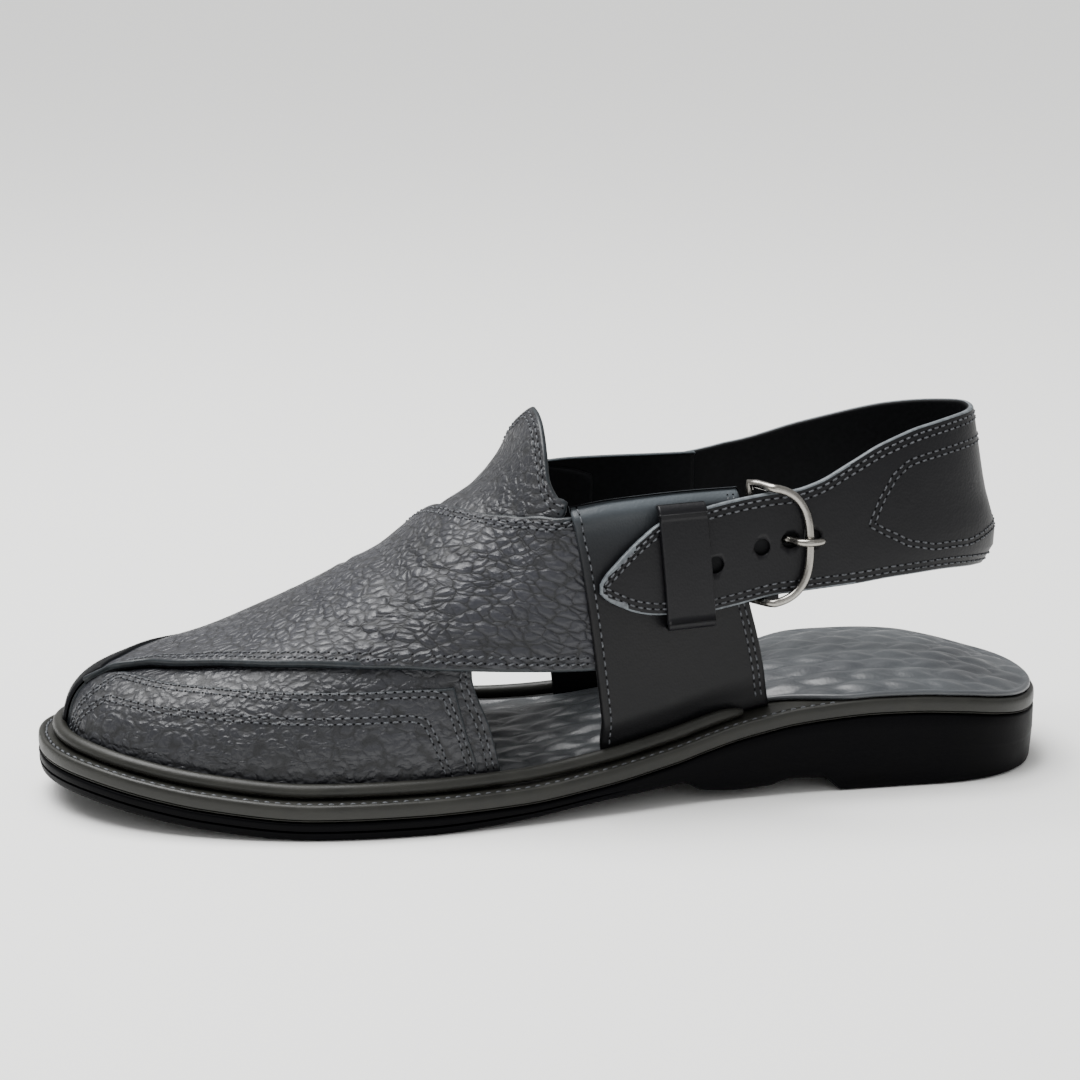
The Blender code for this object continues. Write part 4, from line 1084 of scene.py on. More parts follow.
# Outer strap
# The same leather over the toe and instep, its rear foot on the outer side. The lip over the
# toe is thick, with a painted edge and two seams close above it.
OVER_STEP = STRAP_WALL
OVER_WALL = STRAP_WALL + JOIN
LIP_EDGE = 0.0010
LIP_SEAM_PAIR = (0.0023, 0.0041)
LIP_LIFT = 0.0011           # the lip over the toe stands off the strap below by this much,
LIP_WIDTH = 0.012           # within this distance of its edge,
LIP_REACH = (0.20, 0.62)    # and fades between these places a
SIDE_GIRTH = 0.060          # real lengths of one side's whole w, and of the whole a
TOE_LENGTH = 0.17
# Grain of the instep's piece: larger and flatter scales, parted by creases
over_leather = pebbled("drummed_full_grain_leather", 2.5, "#1b1c21", "#2a2b32", 0.62, 2.1, 0.30, 1.5, 0.75)
over_toe_edge = toe_edge_of(1, OVER_LOW_EDGE)
over_low, over_rear, over_front = curve(OVER_LOW_EDGE, 1), curve(OVER_REAR, 1), curve(OVER_FRONT, 1)
over_toe = curve(OVER_TOE, 1)


def over_face(a, w):
    """The outer strap's face, with the lip over the toe lifted."""
    a, w = np.broadcast_arrays(np.asarray(a, float), np.asarray(w, float))
    outer_edge = np.abs(at_height(a, -1, over_low(a) * INSTEP_HEIGHT))
    start = np.where(w > over_toe_edge, over_toe((w - over_toe_edge) / (1 - over_toe_edge)), 0.0)
    from_edge = np.where(w < 0, (outer_edge - np.abs(w)) * SIDE_GIRTH,
                         np.maximum(over_toe_edge - w, 0.0) * SIDE_GIRTH + (a - start) * TOE_LENGTH)
    lip = (1 - ease(from_edge / LIP_WIDTH)) * (1 - ease((a - LIP_REACH[0]) / (LIP_REACH[1] - LIP_REACH[0])))
    return layer_point(a, w, OVER_STEP + LIP_LIFT * lip)


# Creases of the instep's flex: route as places (a, w), width and depth
OVER_CREASES = [
    ([(0.467, -0.296), (0.506, -0.435), (0.578, -0.575)], 0.0013, 0.00060),
    ([(0.579, -0.140), (0.593, -0.296), (0.629, -0.410)], 0.0012, 0.00050),
    ([(0.627, -0.279), (0.638, -0.388), (0.663, -0.485), (0.695, -0.554)], 0.0013, 0.00055),
    ([(0.648, -0.369), (0.679, -0.442), (0.702, -0.525)], 0.0011, 0.00040),
    ([(0.562, -0.383), (0.605, -0.502), (0.646, -0.579)], 0.0013, 0.00055),
    ([(0.635, -0.602), (0.667, -0.671), (0.705, -0.713)], 0.0012, 0.00050),
    ([(0.585, -0.496), (0.562, -0.521), (0.597, -0.598)], 0.0011, 0.00045),
    ([(0.672, -0.560), (0.695, -0.627), (0.731, -0.719)], 0.0012, 0.00045),
    ([(0.523, -0.263), (0.537, -0.344), (0.555, -0.442)], 0.0011, 0.00045),
    ([(0.421, 0.075), (0.443, -0.221), (0.459, -0.402)], 0.0014, 0.00040),
    ([(0.500, 0.150), (0.530, 0.330), (0.560, 0.480)], 0.0014, 0.00045),
    ([(0.440, 0.250), (0.470, 0.420), (0.520, 0.600)], 0.0013, 0.00045),
    ([(0.560, 0.300), (0.585, 0.460), (0.600, 0.620)], 0.0012, 0.00040),
]
over_places = strap_places(1, OVER_LOW_EDGE, OVER_REAR, OVER_FRONT, OVER_TOE)
over_strap = leather_piece("outer_strap", [over_face(g[..., 0], g[..., 1]) for g in over_places],
                           OVER_WALL, LIP_EDGE, [over_leather, lining_dye_and_shade, edge_paint],
                           shape=pressed(OVER_CREASES, over_face))
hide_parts("upper")

seams = Seams()
for inset in LIP_SEAM_PAIR:
    a = np.linspace(0.03, PANEL_SEWN, 260)
    w = at_height(a, -1, over_low(a) * INSTEP_HEIGHT)
    sew(seams, over_face, a, w, 0, 1, inset, pitch=0.0029, slant=0.0004)
    up = np.linspace(0.335, 1.0, 100)
    a = over_rear(up)
    w = at_height(a, -1, over_low(a) * INSTEP_HEIGHT) * (1 - up)
    sew(seams, over_face, a, w, -1, 0, inset, centre_z=HIGH_MIDDLE)
    w = np.linspace(0.0, 0.97, 120)
    sew(seams, over_face, over_front(w), w, -1, 0, inset, centre_z=HIGH_MIDDLE)
    down = np.linspace(0.10, 0.92, 40)
    w = over_toe_edge + (1 - over_toe_edge) * down
    sew(seams, over_face, over_toe(down), w, 1, 0, inset)
seams.finish("outer_strap_seams", "grain_leather")

# Side panels
# Smooth calf, folded over at the top so that the edge is a soft roll. They are sewn down over
# the rear feet of both straps and carry the heel strap.
PANEL_STEP = 0.0017
PANEL_REAR_STEP = 0.0011
PANEL_FRONT = [
    # share of the panel's height, a
    (0.0, 0.816), (0.3, 0.804), (0.6, 0.791), (1.0, 0.772),
]
PANEL_REAR = [
    (0.0, 1.036), (0.3, 1.020), (0.48, 1.007), (0.62, 0.996), (1.0, 0.991),
]
PANEL_TOP = [
    # a height
    (0.770, 0.972), (0.830, 0.990), (0.910, 0.997), (1.030, 1.000),
]
panel_front, panel_rear, panel_top = curve(PANEL_FRONT, 1), curve(PANEL_REAR, 1), curve(PANEL_TOP, 1)


def a_of(x):
    """The last's lengthwise place whose feather point lies at x, behind the ball."""
    covered = (x - outline(1.0, 1, FEATHER_INSET)[0]) / (LAST_SHARE * (SOLE_LENGTH - 2 * FEATHER_INSET))
    rise = 1 + TIP_PACE
    return (covered + np.sqrt(covered**2 + 4 * rise * TIP_PACE * covered)) / (2 * rise)


def panel_step(p, side):
    """How far a panel's face stands off the last, thinning from its front edge to its rear."""
    front = PANEL_STEP + (STRAP_WALL if side < 0 else 0.0)
    return front + (PANEL_REAR_STEP - front) * p


def panel_place(p, q, side):
    """A place on a side panel: p from its front edge to its rear, q from its foot to its top."""
    p, q = np.broadcast_arrays(np.asarray(p, float), np.asarray(q, float))
    a = panel_front(q) + (panel_rear(q) - panel_front(q)) * p
    foot = feather(a, side)[2]
    z = foot + (panel_top(a) * PANEL_HEIGHT - foot) * q
    w = np.where(q > 0, at_height(a, side, z), float(side))
    return layer_point(a, w, panel_step(p, side))


def calf(name, finish):
    """Smooth, semi-matt calf with fine hair pores; finish is its colour by height above the floor, which on
    the panels is a painted sheen, paler towards the fold.
    """
    material, shader = start_material(name, finish[0][1], 0.5, IOR=1.5, Specular_IOR_Level=0.17,
                                      Coat_Weight=0.1, Coat_Roughness=0.32)
    links = material.node_tree.links
    place = add(material, "TexCoord").outputs["Object"]
    tone = add(material, "TexNoise", [("Vector", place)], Scale=per_metre(30), Detail=5.0).outputs["Fac"]
    height = add(material, "SeparateXYZ", [("Vector", place)]).outputs["Z"]
    cloudy = add(material, "MixRGB", [("Fac", ramp(material, tone, [(0.3, 0.35), (0.75, 0.0)])),
                                      ("Color1", ramp(material, height, finish))], Color2=linear("#08080a"))
    links.new(shader.inputs["Base Color"], cloudy.outputs["Color"])
    links.new(shader.inputs["Roughness"], ramp(material, tone, [(0.3, 0.42), (0.75, 0.55)]))
    hairs = add(material, "TexVoronoi", [("Vector", place)], Scale=per_metre(0.8)).outputs["Distance"]
    folds = add(material, "TexNoise", [("Vector", place)], Scale=per_metre(6), Detail=3.0).outputs["Fac"]
    grain = add(material, "Math", [(0, folds), (2, hairs)], operation="MULTIPLY_ADD")
    grain.inputs[1].default_value = 2.0
    bump = add(material, "Bump", [("Height", grain.outputs["Value"])], Strength=0.3, Distance=0.0002)
    links.new(shader.inputs["Normal"], bump.outputs["Normal"])
    return material


# One even colour on the straps; the panels' colour by height is a painted sheen, paler towards the fold
smooth_leather = calf("smooth_calf_leather", [(0.0, "#111114"), (1.0, "#111114")])
panel_sheen_calf = calf("panel_calf_painted_sheen", [(0.058, "#0f0f11"), (0.074, "#1f2124"), (0.084, "#35393d"),
                                            (0.088, "#5d6469")])

PANEL_ROLL = 0.0008         # how far the folded top swells,
PANEL_ROLL_PLACE = 0.0036   # how far below the top that is most,
PANEL_ROLL_WIDTH = 0.0020   # and over which width
PANEL_TURN = 0.0021         # how far the top then turns in,
PANEL_TURN_HEIGHT = 0.0032  # and over which height


def top_roll(points):
    """The fold along a panel's top edge: thicker than the rest, then turned in and round."""
    below = panel_top(a_of(points[:, 0])) * PANEL_HEIGHT - points[:, 2]
    swell = PANEL_ROLL * np.exp(-((below - PANEL_ROLL_PLACE) / PANEL_ROLL_WIDTH) ** 2)
    return swell - PANEL_TURN * np.clip(1 - below / PANEL_TURN_HEIGHT, 0.0, 1.0) ** 2


PANEL_EDGE = 0.0011
PANEL_RUN = (0.047, 0.074)          # a panel's real length and height, and the mesh's pitch along each
PANEL_PITCH = (0.0024, 0.0011)
PANEL_FRONT_SEAM = 0.0022           # the front seam's distance from the edge
for side, name in ((-1, "outer_side_panel"), (1, "inner_side_panel")):
    columns, levels = (spread(run, PANEL_EDGE, pitch) for run, pitch in zip(PANEL_RUN, PANEL_PITCH))
    panel = leather_piece(name, [panel_place(columns[None, :], levels[:, None], side)], PANEL_STEP + JOIN,
                          PANEL_EDGE, [panel_sheen_calf, lining_dye_and_shade, panel_sheen_calf], shape=top_roll)
    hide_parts("upper")

    def panel_surface(p, q):
        point = panel_place(p, q, side)
        point[..., 1] += side * top_roll(point.reshape(-1, 3)).reshape(point.shape[:-1])
        return point

    seams = Seams()
    q = np.linspace(0.05, 0.985, 80)
    sew(seams, panel_surface, 0 * q, q, 1, 0, PANEL_FRONT_SEAM, centre_z=HIGH_MIDDLE)
    q = np.linspace(0.05, 0.97, 80)
    for inset in SEAM_PAIR:
        sew(seams, panel_surface, 1 + 0 * q, q, -1, 0, inset, centre_z=HIGH_MIDDLE)
    seams.finish(name + "_seams", "smooth_leather")

# Heel strap
# Smooth calf with a black lining, cut in one length: it starts on the inner panel's outside, runs
# round the heel, through the buckle and ends in a point under the keeper.
HEEL_STRAP_WALL = 0.0020
STRAP_SEAT = 0.0010         # the gap between a panel's face and the strap
TURN_START = 0.301          # where along the sole the strap leaves the panels and starts to turn
RUN_REACH = 0.070           # the length of one turn past that place
LOOP_BACK = 0.0126          # how far the loop stays in front of the sole's rear end
LOOP_POWER = 2.2
BANDS = [
    # turn, from the point on the outer side (-) round the heel (0) to the inner panel (+), low, high
    (-1.764, 0.712, 0.742),
    (-1.745, 0.696, 0.766),
    (-1.720, 0.682, 0.786),
    (-1.594, 0.637, 0.872),
    (-1.500, 0.624, 0.917),
    (-1.314, 0.618, 0.950),
    (-1.186, 0.630, 0.968),
    (-1.040, 0.652, 0.983),
    (-0.970, 0.660, 0.988),
    (-0.903, 0.667, 1.010),
    (-0.807, 0.675, 1.063),
    (-0.696, 0.686, 1.116),
    (-0.533, 0.690, 1.156),
    (-0.300, 0.676, 1.174),
    (0.000, 0.654, 1.178),
    (0.300, 0.660, 1.166),
    (0.500, 0.665, 1.148),
    (0.800, 0.670, 1.078),
    (1.000, 0.670, 1.012),
    (1.260, 0.675, 0.975),
]
LEANS = [
    # up forward
    (0.00, 0.0037), (0.15, 0.0), (0.50, 0.0040), (1.00, 0.0082),
]
band_low, band_high, lean = curve(BANDS, 1), curve(BANDS, 2), curve(LEANS, 1)


def place_x(along):
    """The x of a place along the sole."""
    return (0.5 - along) * SOLE_LENGTH


def panel_face(x, side):
    """How far a panel's face stands off the last at x."""
    front, rear = PANEL_FRONT[-1][1], PANEL_REAR[-1][1]
    return panel_step(np.clip((a_of(x) - front) / (rear - front), 0.0, 1.0), side)


def band_y(x, z, side, lift=0.0):
    """Out to the strap's inner face and a lift beyond it, beside the panels or behind them."""
    x, z, side = np.broadcast_arrays(np.asarray(x, float), np.asarray(z, float), side)
    start = place_x(TURN_START)
    near = np.minimum(x, start)
    a = a_of(near)
    outer, inner = (last_point(a, at_height(a, s, z))[..., 1] for s in (-1, 1))
    off_last = np.where(side < 0, panel_face(near, -1), panel_face(near, 1))
    y = np.where(side < 0, outer, inner) + side * (off_last + STRAP_SEAT)
    depth = np.clip((x - start) / (0.5 * SOLE_LENGTH - LOOP_BACK - start), 0, 1)
    return y * (1 - depth**LOOP_POWER) ** (1 / LOOP_POWER) + side * lift


def band_point(turn, up):
    """A point of the strap's inner face."""
    turn, up = np.broadcast_arrays(np.asarray(turn, float), np.asarray(up, float))
    z = (band_low(turn) + (band_high(turn) - band_low(turn)) * up) * PANEL_HEIGHT
    side = np.where(turn < 0, -1, 1)
    start = place_x(TURN_START)
    straight = start - (np.abs(turn) - 1) * RUN_REACH
    angle = 0.5 * math.pi * (1 - np.minimum(np.abs(turn), 1))
    back = 0.5 * SOLE_LENGTH - LOOP_BACK - HEEL_STRAP_WALL - lean(up)
    bent = start + (back - start) * np.clip(np.sin(angle), 0, 1) ** (2 / LOOP_POWER)
    bent_y = band_y(np.full(z.shape, start), z, side) * np.clip(np.cos(angle), 0, 1) ** (2 / LOOP_POWER)
    run = np.abs(turn) >= 1
    y = np.where(run, band_y(straight, z, side), bent_y)
    return np.stack([np.where(run, straight, bent), y, z], axis=-1)


# Pale edge: the strap's cut edges are coloured paler than its face, a painted highlight of the light from
# above along the rounded top edge
edge_colour_and_highlight = surfaced("pale_edge_painted_highlight", "#5a5f63", 0.4, (1.5, 4.0), [(0.3, "#474b4f"), (0.7, "#6a7074")],
                     IOR=1.5, Specular_IOR_Level=0.4)

STRAP_ROUND = 0.0007
BAND_RUN = (0.30, 0.030)            # the strap's real length and width, and the mesh's pitch along each
BAND_PITCH = (MESH_PITCH, 0.0024)
BAND_MIDDLE = 0.8 * PANEL_HEIGHT
turns, ups = (spread(run, STRAP_ROUND, pitch) for run, pitch in zip(BAND_RUN, BAND_PITCH))
turns = BANDS[0][0] + (BANDS[-1][0] - BANDS[0][0]) * turns
heel_strap = leather_piece("heel_strap_leather", [band_point(turns[None, :], ups[:, None])], HEEL_STRAP_WALL,
                           STRAP_ROUND, [smooth_leather, lining_dye_and_shade, edge_colour_and_highlight], BAND_MIDDLE,
                           outwards=True)

BUCKLE_BAR = 0.324
HOLE_WIDTH = 0.0048
HOLE_SHADE_FLOOR = 0.0004         # a thin dark floor of lining is left in each hole: painted shade for the open hole
HOLE_CUTTER = 0.02          # the punch's length, and how many sides it has
HOLE_SIDES = 28
HOLES = [
    # behind the buckle's bar, height, length
    (-0.0119, 0.769, HOLE_WIDTH),
    (0.0019, 0.815, HOLE_WIDTH),
    (0.0102, 0.833, 0.0052),
    (0.0169, 0.838, HOLE_WIDTH),
]
for behind_bar, height, length in HOLES:
    hole_x, hole_z = place_x(BUCKLE_BAR) + behind_bar, height * PANEL_HEIGHT
    hole_y = float(band_y(hole_x, hole_z, -1, HOLE_SHADE_FLOOR + 0.5 * HOLE_CUTTER))
    bpy.ops.mesh.primitive_cylinder_add(vertices=HOLE_SIDES, radius=0.5 * HOLE_WIDTH, depth=HOLE_CUTTER,
                                        rotation=(0.5 * math.pi, 0.0, 0.0),
                                        location=(hole_x, hole_y, hole_z))
    cutter = bpy.context.object
    cutter.scale = (length / HOLE_WIDTH, 1.0, 1.0)
    cutter.data.materials.append(lining_dye_and_shade)
    cut = heel_strap.modifiers.new("hole", "BOOLEAN")
    cut.operation = "DIFFERENCE"
    cut.object = cutter
    bpy.context.view_layer.update()
    evaluated = heel_strap.evaluated_get(bpy.context.evaluated_depsgraph_get())
    cut_mesh = bpy.data.meshes.new_from_object(evaluated)
    heel_strap.modifiers.clear()
    heel_strap.data = cut_mesh
    bpy.data.objects.remove(cutter, do_unlink=True)
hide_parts("heel_strap")

HEEL_MIDDLE = 0.05
BAND_STITCH = {"pitch": 0.0026, "length": 0.0018}
BAND_SEAM_PAIR = (0.0018, 0.0034)
POINT_PLAIN, END_PLAIN = 0.006, 0.01        # turns left unsewn at the strap's point and at its start


def band_face(turn, up):
    """The strap's outer face: away from the middle line, and behind the heel's middle also backwards."""
    point, normal = band_point(turn, up), across_surface(band_point, turn, up)
    backwards = normal[..., 0] * np.maximum(point[..., 0] - HEEL_MIDDLE, 0)
    return point + unit(normal, normal[..., 1] * point[..., 1] + backwards < 0) * HEEL_STRAP_WALL


def band_line(turn, up):
    """Points and normals of a line on the strap's outer face."""
    line = band_face(turn, up)
    return line, (line - band_point(turn, up)) / HEEL_STRAP_WALL


def turn_of(x, side):
    """The strap's turn at x, on one side."""
    candidates = side * np.linspace(0.0, 1.76, 800)
    xs = band_point(candidates, np.full(800, 0.5))[:, 0]
    return float(candidates[np.argmin(np.abs(xs - x))])


seams = Seams()
for inset in BAND_SEAM_PAIR:
    turn = np.linspace(BANDS[0][0] + POINT_PLAIN, BANDS[-1][0] - END_PLAIN, 900)
    width = (band_high(turn) - band_low(turn)) * PANEL_HEIGHT
    wide = width > 2.2 * inset + STRAP_EDGE
    turn, low_share = turn[wide], inset / width[wide]
    corner = turn[0] - 0.4 * inset / RUN_REACH
    turn = np.concatenate([turn[::-1], [corner], turn])
    up = np.concatenate([low_share[::-1], [0.5], 1 - low_share])
    seams.row(*band_line(turn, up), **BAND_STITCH)

# The counter is sewn on with a leaf-shaped seam pair: places as x and height along its edge
LEAF = [
    # x, height
    (0.1150, 0.0674), (0.1034, 0.0679), (0.0958, 0.0698), (0.0897, 0.0734), (0.0857, 0.0762),
    (0.0893, 0.0827), (0.0941, 0.0889), (0.0993, 0.0922), (0.1090, 0.0938), (0.1150, 0.0945),
]
places = []
for x, z in LEAF:
    turn = turn_of(x, -1)
    low, high = float(band_low(turn)) * PANEL_HEIGHT, float(band_high(turn)) * PANEL_HEIGHT
    places.append((turn, (z - low) / (high - low)))
# Behind the heel the two ends of the leaf run on to the middle, where the other side's leaf meets them
places = [(0.0, places[0][1] + 0.10), (-0.25, places[0][1] + 0.05)] + places + [(-0.25, 0.80), (0.0, 0.80)]
for side in (-1, 1):
    turn, up = along_line([(-side * t, u) for t, u in places], 300)
    seams.pair(*band_line(turn, up), PAIR_GAP, **BAND_STITCH)
seams.finish("heel_strap_seams", "smooth_leather")

# Keeper loop
# A strip of the same calf, sewn behind the panel and bent over the strap's end.
KEEPER_WIDTH = 0.0144
KEEPER_WALL = 0.0015
KEEPER_LOW = (0.3890, 0.570)
KEEPER_HIGH = (0.3995, 0.972)
KEEPER_CORNER = 0.0026
KEEPER_EDGE = 0.0005
KEEPER_PITCH = 0.0016

low_x, low_z = place_x(KEEPER_LOW[0]), KEEPER_LOW[1] * PANEL_HEIGHT
high_x, high_z = place_x(KEEPER_HIGH[0]), KEEPER_HIGH[1] * PANEL_HEIGHT
tall = high_z - low_z
seat = -STRAP_SEAT + CLEARANCE
crown = HEEL_STRAP_WALL + CLEARANCE + KEEPER_WALL
profile = [(0.0, seat), (0.0, 0.5 * (seat + crown)), (0.0, crown - KEEPER_CORNER)]
profile += [(KEEPER_CORNER * (1 - math.cos(t)), crown - KEEPER_CORNER * (1 - math.sin(t)))
            for t in np.linspace(0, math.pi / 2, 7)[1:]]
middles = [(tall * k / 16, crown) for k in range(1, 16)]
route = profile + middles + [(tall - u, w) for u, w in reversed(profile)]
rows = []
for up, lift in route:
    share = up / tall
    across = spread(KEEPER_WIDTH, KEEPER_EDGE, KEEPER_PITCH) - 0.5
    x = low_x + (high_x - low_x) * share + KEEPER_WIDTH * across
    z = np.full(len(x), low_z + up)
    rows.append(np.stack([x, band_y(x, z, -1, lift), z], axis=-1))
all_calf = [smooth_leather, lining_dye_and_shade, smooth_leather]
strap_middle = 0.5 * (low_z + high_z)
keeper = leather_piece("keeper_strip", [np.array(rows)], KEEPER_WALL, KEEPER_EDGE, all_calf, strap_middle)
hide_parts("keeper_loop")

# Buckle
# A bent frame of polished steel wire with a straight bar. A tab of calf folds round the bar
# and is sewn behind the panel; the prong goes through the third hole and rests on the frame.
WIRE = 0.0012
BUCKLE_REACH = 0.0155
BUCKLE_LOW = 0.633
BUCKLE_HIGH = 1.006
BAR_DEPTH = 0.0034
RIM_LIFT = HEEL_STRAP_WALL + 1.6 * CLEARANCE + WIRE     # the frame's rim lies on the strap
FRAME_POWER = 2.8           # how square the frame's bow is, and over which share of it the wire rises
FRAME_BEND = 0.36

# Polished stainless steel with hairline scratches that break the highlight a little
polished_steel = surfaced("polished_steel", "#8f8c87", 0.24, (0.8, 6.0), [(0.3, "#8b8883"), (0.7, "#9a9791")],
                          [(0.3, 0.2), (0.7, 0.28)], Metallic=1.0)

bar_x, bar_low, bar_high = place_x(BUCKLE_BAR), BUCKLE_LOW * PANEL_HEIGHT, BUCKLE_HIGH * PANEL_HEIGHT
bar_low_y, bar_high_y = (float(band_y(bar_x, z, -1, -BAR_DEPTH)) for z in (bar_low, bar_high))


def bar_y(z):
    """The y of the buckle's bar at height z."""
    return bar_low_y + (bar_high_y - bar_low_y) * (np.asarray(z) - bar_low) / (bar_high - bar_low)


angles = np.linspace(-0.5 * math.pi, 0.5 * math.pi, 73)
reach = np.clip(np.cos(angles), 0, 1) ** (2 / FRAME_POWER)
rise = np.sign(np.sin(angles)) * np.abs(np.sin(angles)) ** (2 / FRAME_POWER)
x = bar_x + BUCKLE_REACH * reach
z = 0.5 * (bar_low + bar_high) + 0.5 * (bar_high - bar_low) * rise
y = bar_y(z) + (band_y(x, z, -1, RIM_LIFT) - bar_y(z)) * ease(reach / FRAME_BEND)
wire_points = np.stack([x, y, z], axis=-1)
bar_points = wire_points[-1] + (wire_points[0] - wire_points[-1]) * np.linspace(0, 1, 14)[1:-1, None]


def wire_ring(name, points, radius, material):
    """A closed ring of round wire through points."""
    data = bpy.data.curves.new(name, "CURVE")
    data.dimensions = "3D"
    data.bevel_depth = radius
    data.bevel_resolution = 6
    spline = data.splines.new("POLY")
    spline.points.add(len(points) - 1)
    for target, point in zip(spline.points, points):
        target.co = (*point, 1.0)
    spline.use_cyclic_u = True
    spline.use_smooth = True
    data.materials.append(material)
    piece = bpy.data.objects.new(name, data)
    bpy.context.scene.collection.objects.link(piece)
    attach(piece, "root")
    return piece


buckle = wire_ring("buckle_wire", np.concatenate([wire_points, bar_points]), WIRE, polished_steel)
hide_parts("buckle_frame")

PRONG = 0.0011
PRONG_TIP = 0.0040          # how far the prong reaches past the rim, and how near it passes the leather
PRONG_SKIM = 0.0002
TAB_WALL = 0.0014
TAB_EDGE = 0.0004
TAB_PITCH = 0.002
TAB_HEIGHT = 0.020
TAB_REACH = 0.012
PANEL_BACK = STRAP_SEAT + PANEL_STEP + JOIN
hole_x, prong_z = bar_x + HOLES[2][0], HOLES[2][1] * PANEL_HEIGHT
rim_x = bar_x + BUCKLE_REACH
prong_start = bar_x + WIRE + TAB_WALL + 2 * CLEARANCE + PRONG
over = RIM_LIFT + WIRE + CLEARANCE + PRONG
inside = -PRONG - CLEARANCE
prong_route = [
    # x lift
    (prong_start, -BAR_DEPTH + 0.0012),
    (prong_start + 0.6 * (hole_x - 0.0022 - prong_start), 1.5 * inside),
    (hole_x - 0.0012, PRONG_SKIM),
    (hole_x + 0.0006, HEEL_STRAP_WALL + PRONG_SKIM),
    (hole_x + 0.0022, HEEL_STRAP_WALL + PRONG_SKIM + 0.75 * (over - HEEL_STRAP_WALL - PRONG_SKIM)),
    (rim_x - 0.0005, over),
    (rim_x + 0.0015, over - PRONG_SKIM),
    (rim_x + PRONG_TIP, over - 0.0016),
]
lift_of = curve(prong_route, 1)
xs = np.linspace(prong_start, rim_x + PRONG_TIP, 40)
prong_points = np.stack([xs, band_y(xs, prong_z, -1, lift_of(xs)), np.full(len(xs), prong_z)], axis=-1)
prong_radii = np.full(len(xs), PRONG)
prong_radii[-3:] *= (0.95, 0.8, 0.45)
prong = tube("buckle_prong_rod", prong_points, prong_radii, polished_steel)
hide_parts("buckle_prong")

radius = WIRE + CLEARANCE
behind_panel = BAR_DEPTH - PANEL_BACK - 2 * CLEARANCE
bend = np.radians(np.arange(120, -97, -12))
tab_path = [(bar_x + radius * math.cos(t), radius * math.sin(t)) for t in bend]
tab_path += [(bar_x - share * TAB_REACH, behind_panel - TAB_WALL) for share in (0.3, 0.5, 0.75, 1.0)]
levels = prong_z + TAB_HEIGHT * (spread(TAB_HEIGHT, TAB_EDGE, TAB_PITCH) - 0.5)
tab_grid = np.array([[(x, float(bar_y(z)) - lift, z) for x, lift in tab_path] for z in levels])
tab = leather_piece("buckle_tab_leather", [tab_grid], TAB_WALL, TAB_EDGE, all_calf, strap_middle,
                    outwards=True)
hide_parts("buckle_tab")

# Guard
# A flap of calf behind the tab and the buckle keeps both off the foot. It is sewn in behind the
# panel with the tab, and its lower rear corner shows under the buckle.
GUARD_WALL = 0.0012
GUARD_REACH = 0.0088        # how far the flap reaches behind the buckle's bar
GUARD_TOP = 0.90            # shares of the panel's height: its top, and its lower edge from front to rear
GUARD_LOW = (0.668, 0.606)
GUARD_RISE = 0.025
GUARD_PITCH = 0.0015

behind_tab = PANEL_BACK + 3 * CLEARANCE + 2 * TAB_WALL - BAR_DEPTH
behind_prong = 2 * PRONG + 6 * CLEARANCE
turn_back = WIRE + CLEARANCE + TAB_WALL
reach = GUARD_REACH + TAB_REACH
behind_bar = spread(reach, TAB_EDGE, GUARD_PITCH) * reach - TAB_REACH
up = spread(GUARD_RISE, TAB_EDGE, TAB_PITCH)
low = GUARD_LOW[0] + (GUARD_LOW[1] - GUARD_LOW[0]) * (behind_bar + TAB_REACH) / reach
z = (low[None, :] + (GUARD_TOP - low)[None, :] * up[:, None]) * PANEL_HEIGHT
x = bar_x + behind_bar[None, :] + 0 * z
out_share = np.clip((behind_bar - turn_back) / (GUARD_REACH - turn_back), 0, 1)[None, :]
rear_y = band_y(np.full(z.shape, bar_x + GUARD_REACH), z, -1, -behind_prong)
y = (bar_y(z) + behind_tab) * (1 - out_share) + rear_y * out_share
guard = leather_piece("buckle_guard_flap", [np.stack([x, y, z], axis=-1)], GUARD_WALL, TAB_EDGE, all_calf,
                      strap_middle)
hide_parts("buckle_guard")

# Floor, light and camera
# A plain pale studio floor, one wide soft light overhead, a weak one from the front, diffused
# daylight, and the camera where the photographer stood.
FLOOR_HALF = 3.0
AIR_STRENGTH = 0.55
SHOE_MIDDLE = (0.0, 0.0, 0.05)
paper = start_material("floor_paper", "#f7f7f5", 0.8)[0]
floor_mesh = bpy.data.meshes.new("studio_floor")
corners = [(x * FLOOR_HALF, y * FLOOR_HALF, 0.0) for x, y in ((-1, -1), (1, -1), (1, 1), (-1, 1))]
floor_mesh.from_pydata(corners, [], [(0, 1, 2, 3)])
floor_mesh.materials.append(paper)
floor = bpy.data.objects.new("studio_floor", floor_mesh)
bpy.context.scene.collection.objects.link(floor)

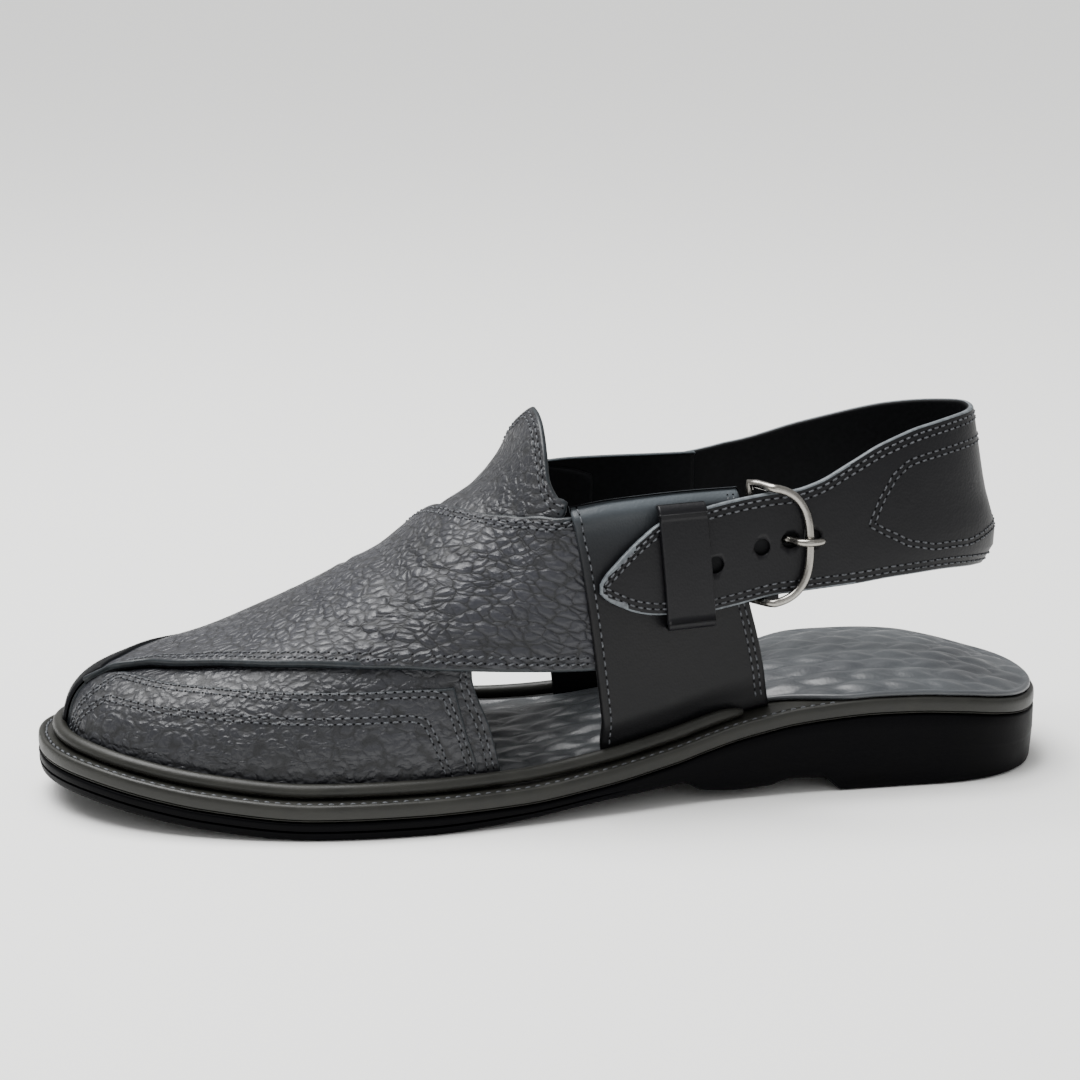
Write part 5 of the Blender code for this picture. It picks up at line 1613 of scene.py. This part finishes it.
world = bpy.data.worlds.new("studio_air")
world.use_nodes = True
world.node_tree.nodes["Background"].inputs["Color"].default_value = (1.0, 1.0, 1.0, 1.0)
world.node_tree.nodes["Background"].inputs["Strength"].default_value = AIR_STRENGTH
bpy.context.scene.world = world


def softbox(name, place, size, power):
    """A rectangular area light that looks at the shoe."""
    light = bpy.data.lights.new(name, "AREA")
    light.shape = "RECTANGLE"
    light.size, light.size_y = size
    light.energy = power
    lamp = bpy.data.objects.new(name, light)
    lamp.location = place
    lamp.rotation_euler = (Vector(SHOE_MIDDLE) - Vector(place)).to_track_quat("-Z", "Y").to_euler()
    bpy.context.scene.collection.objects.link(lamp)


softbox("overhead_softbox", (-0.25, 0.15, 1.0), (0.9, 0.6), 16.0)
softbox("front_fill", (0.2, -1.1, 0.5), (0.8, 0.6), 1.2)
# Daylight through a wide diffuser, from above, a little from the toe's end and the far side
sky = bpy.data.lights.new("soft_daylight", "SUN")
sky.energy = 2.8
sky.angle = math.radians(50)
sky_lamp = bpy.data.objects.new("soft_daylight", sky)
sky_lamp.rotation_euler = (math.radians(-12), math.radians(-18), 0.0)
bpy.context.scene.collection.objects.link(sky_lamp)

AZIMUTH, ELEVATION, ROLL = math.radians(-13.0), math.radians(14.5), math.radians(0.7)
TARGET, DISTANCE, LENS = Vector((-0.003, 0.0, 0.0684)), 0.9, 105.0
back = Vector((math.sin(AZIMUTH) * math.cos(ELEVATION), -math.cos(AZIMUTH) * math.cos(ELEVATION),
               math.sin(ELEVATION)))
right = Vector((math.cos(AZIMUTH), math.sin(AZIMUTH), 0.0))
up = back.cross(right)
rolled_right = right * math.cos(ROLL) + up * math.sin(ROLL)
rolled_up = up * math.cos(ROLL) - right * math.sin(ROLL)
camera_data = bpy.data.cameras.new("photo_camera")
camera_data.lens = LENS
camera_data.sensor_width = 36.0
camera = bpy.data.objects.new("photo_camera", camera_data)
turn = Matrix((rolled_right, rolled_up, back)).transposed().to_4x4()
camera.matrix_world = Matrix.Translation(TARGET + back * DISTANCE) @ turn
bpy.context.scene.collection.objects.link(camera)
bpy.context.scene.camera = camera
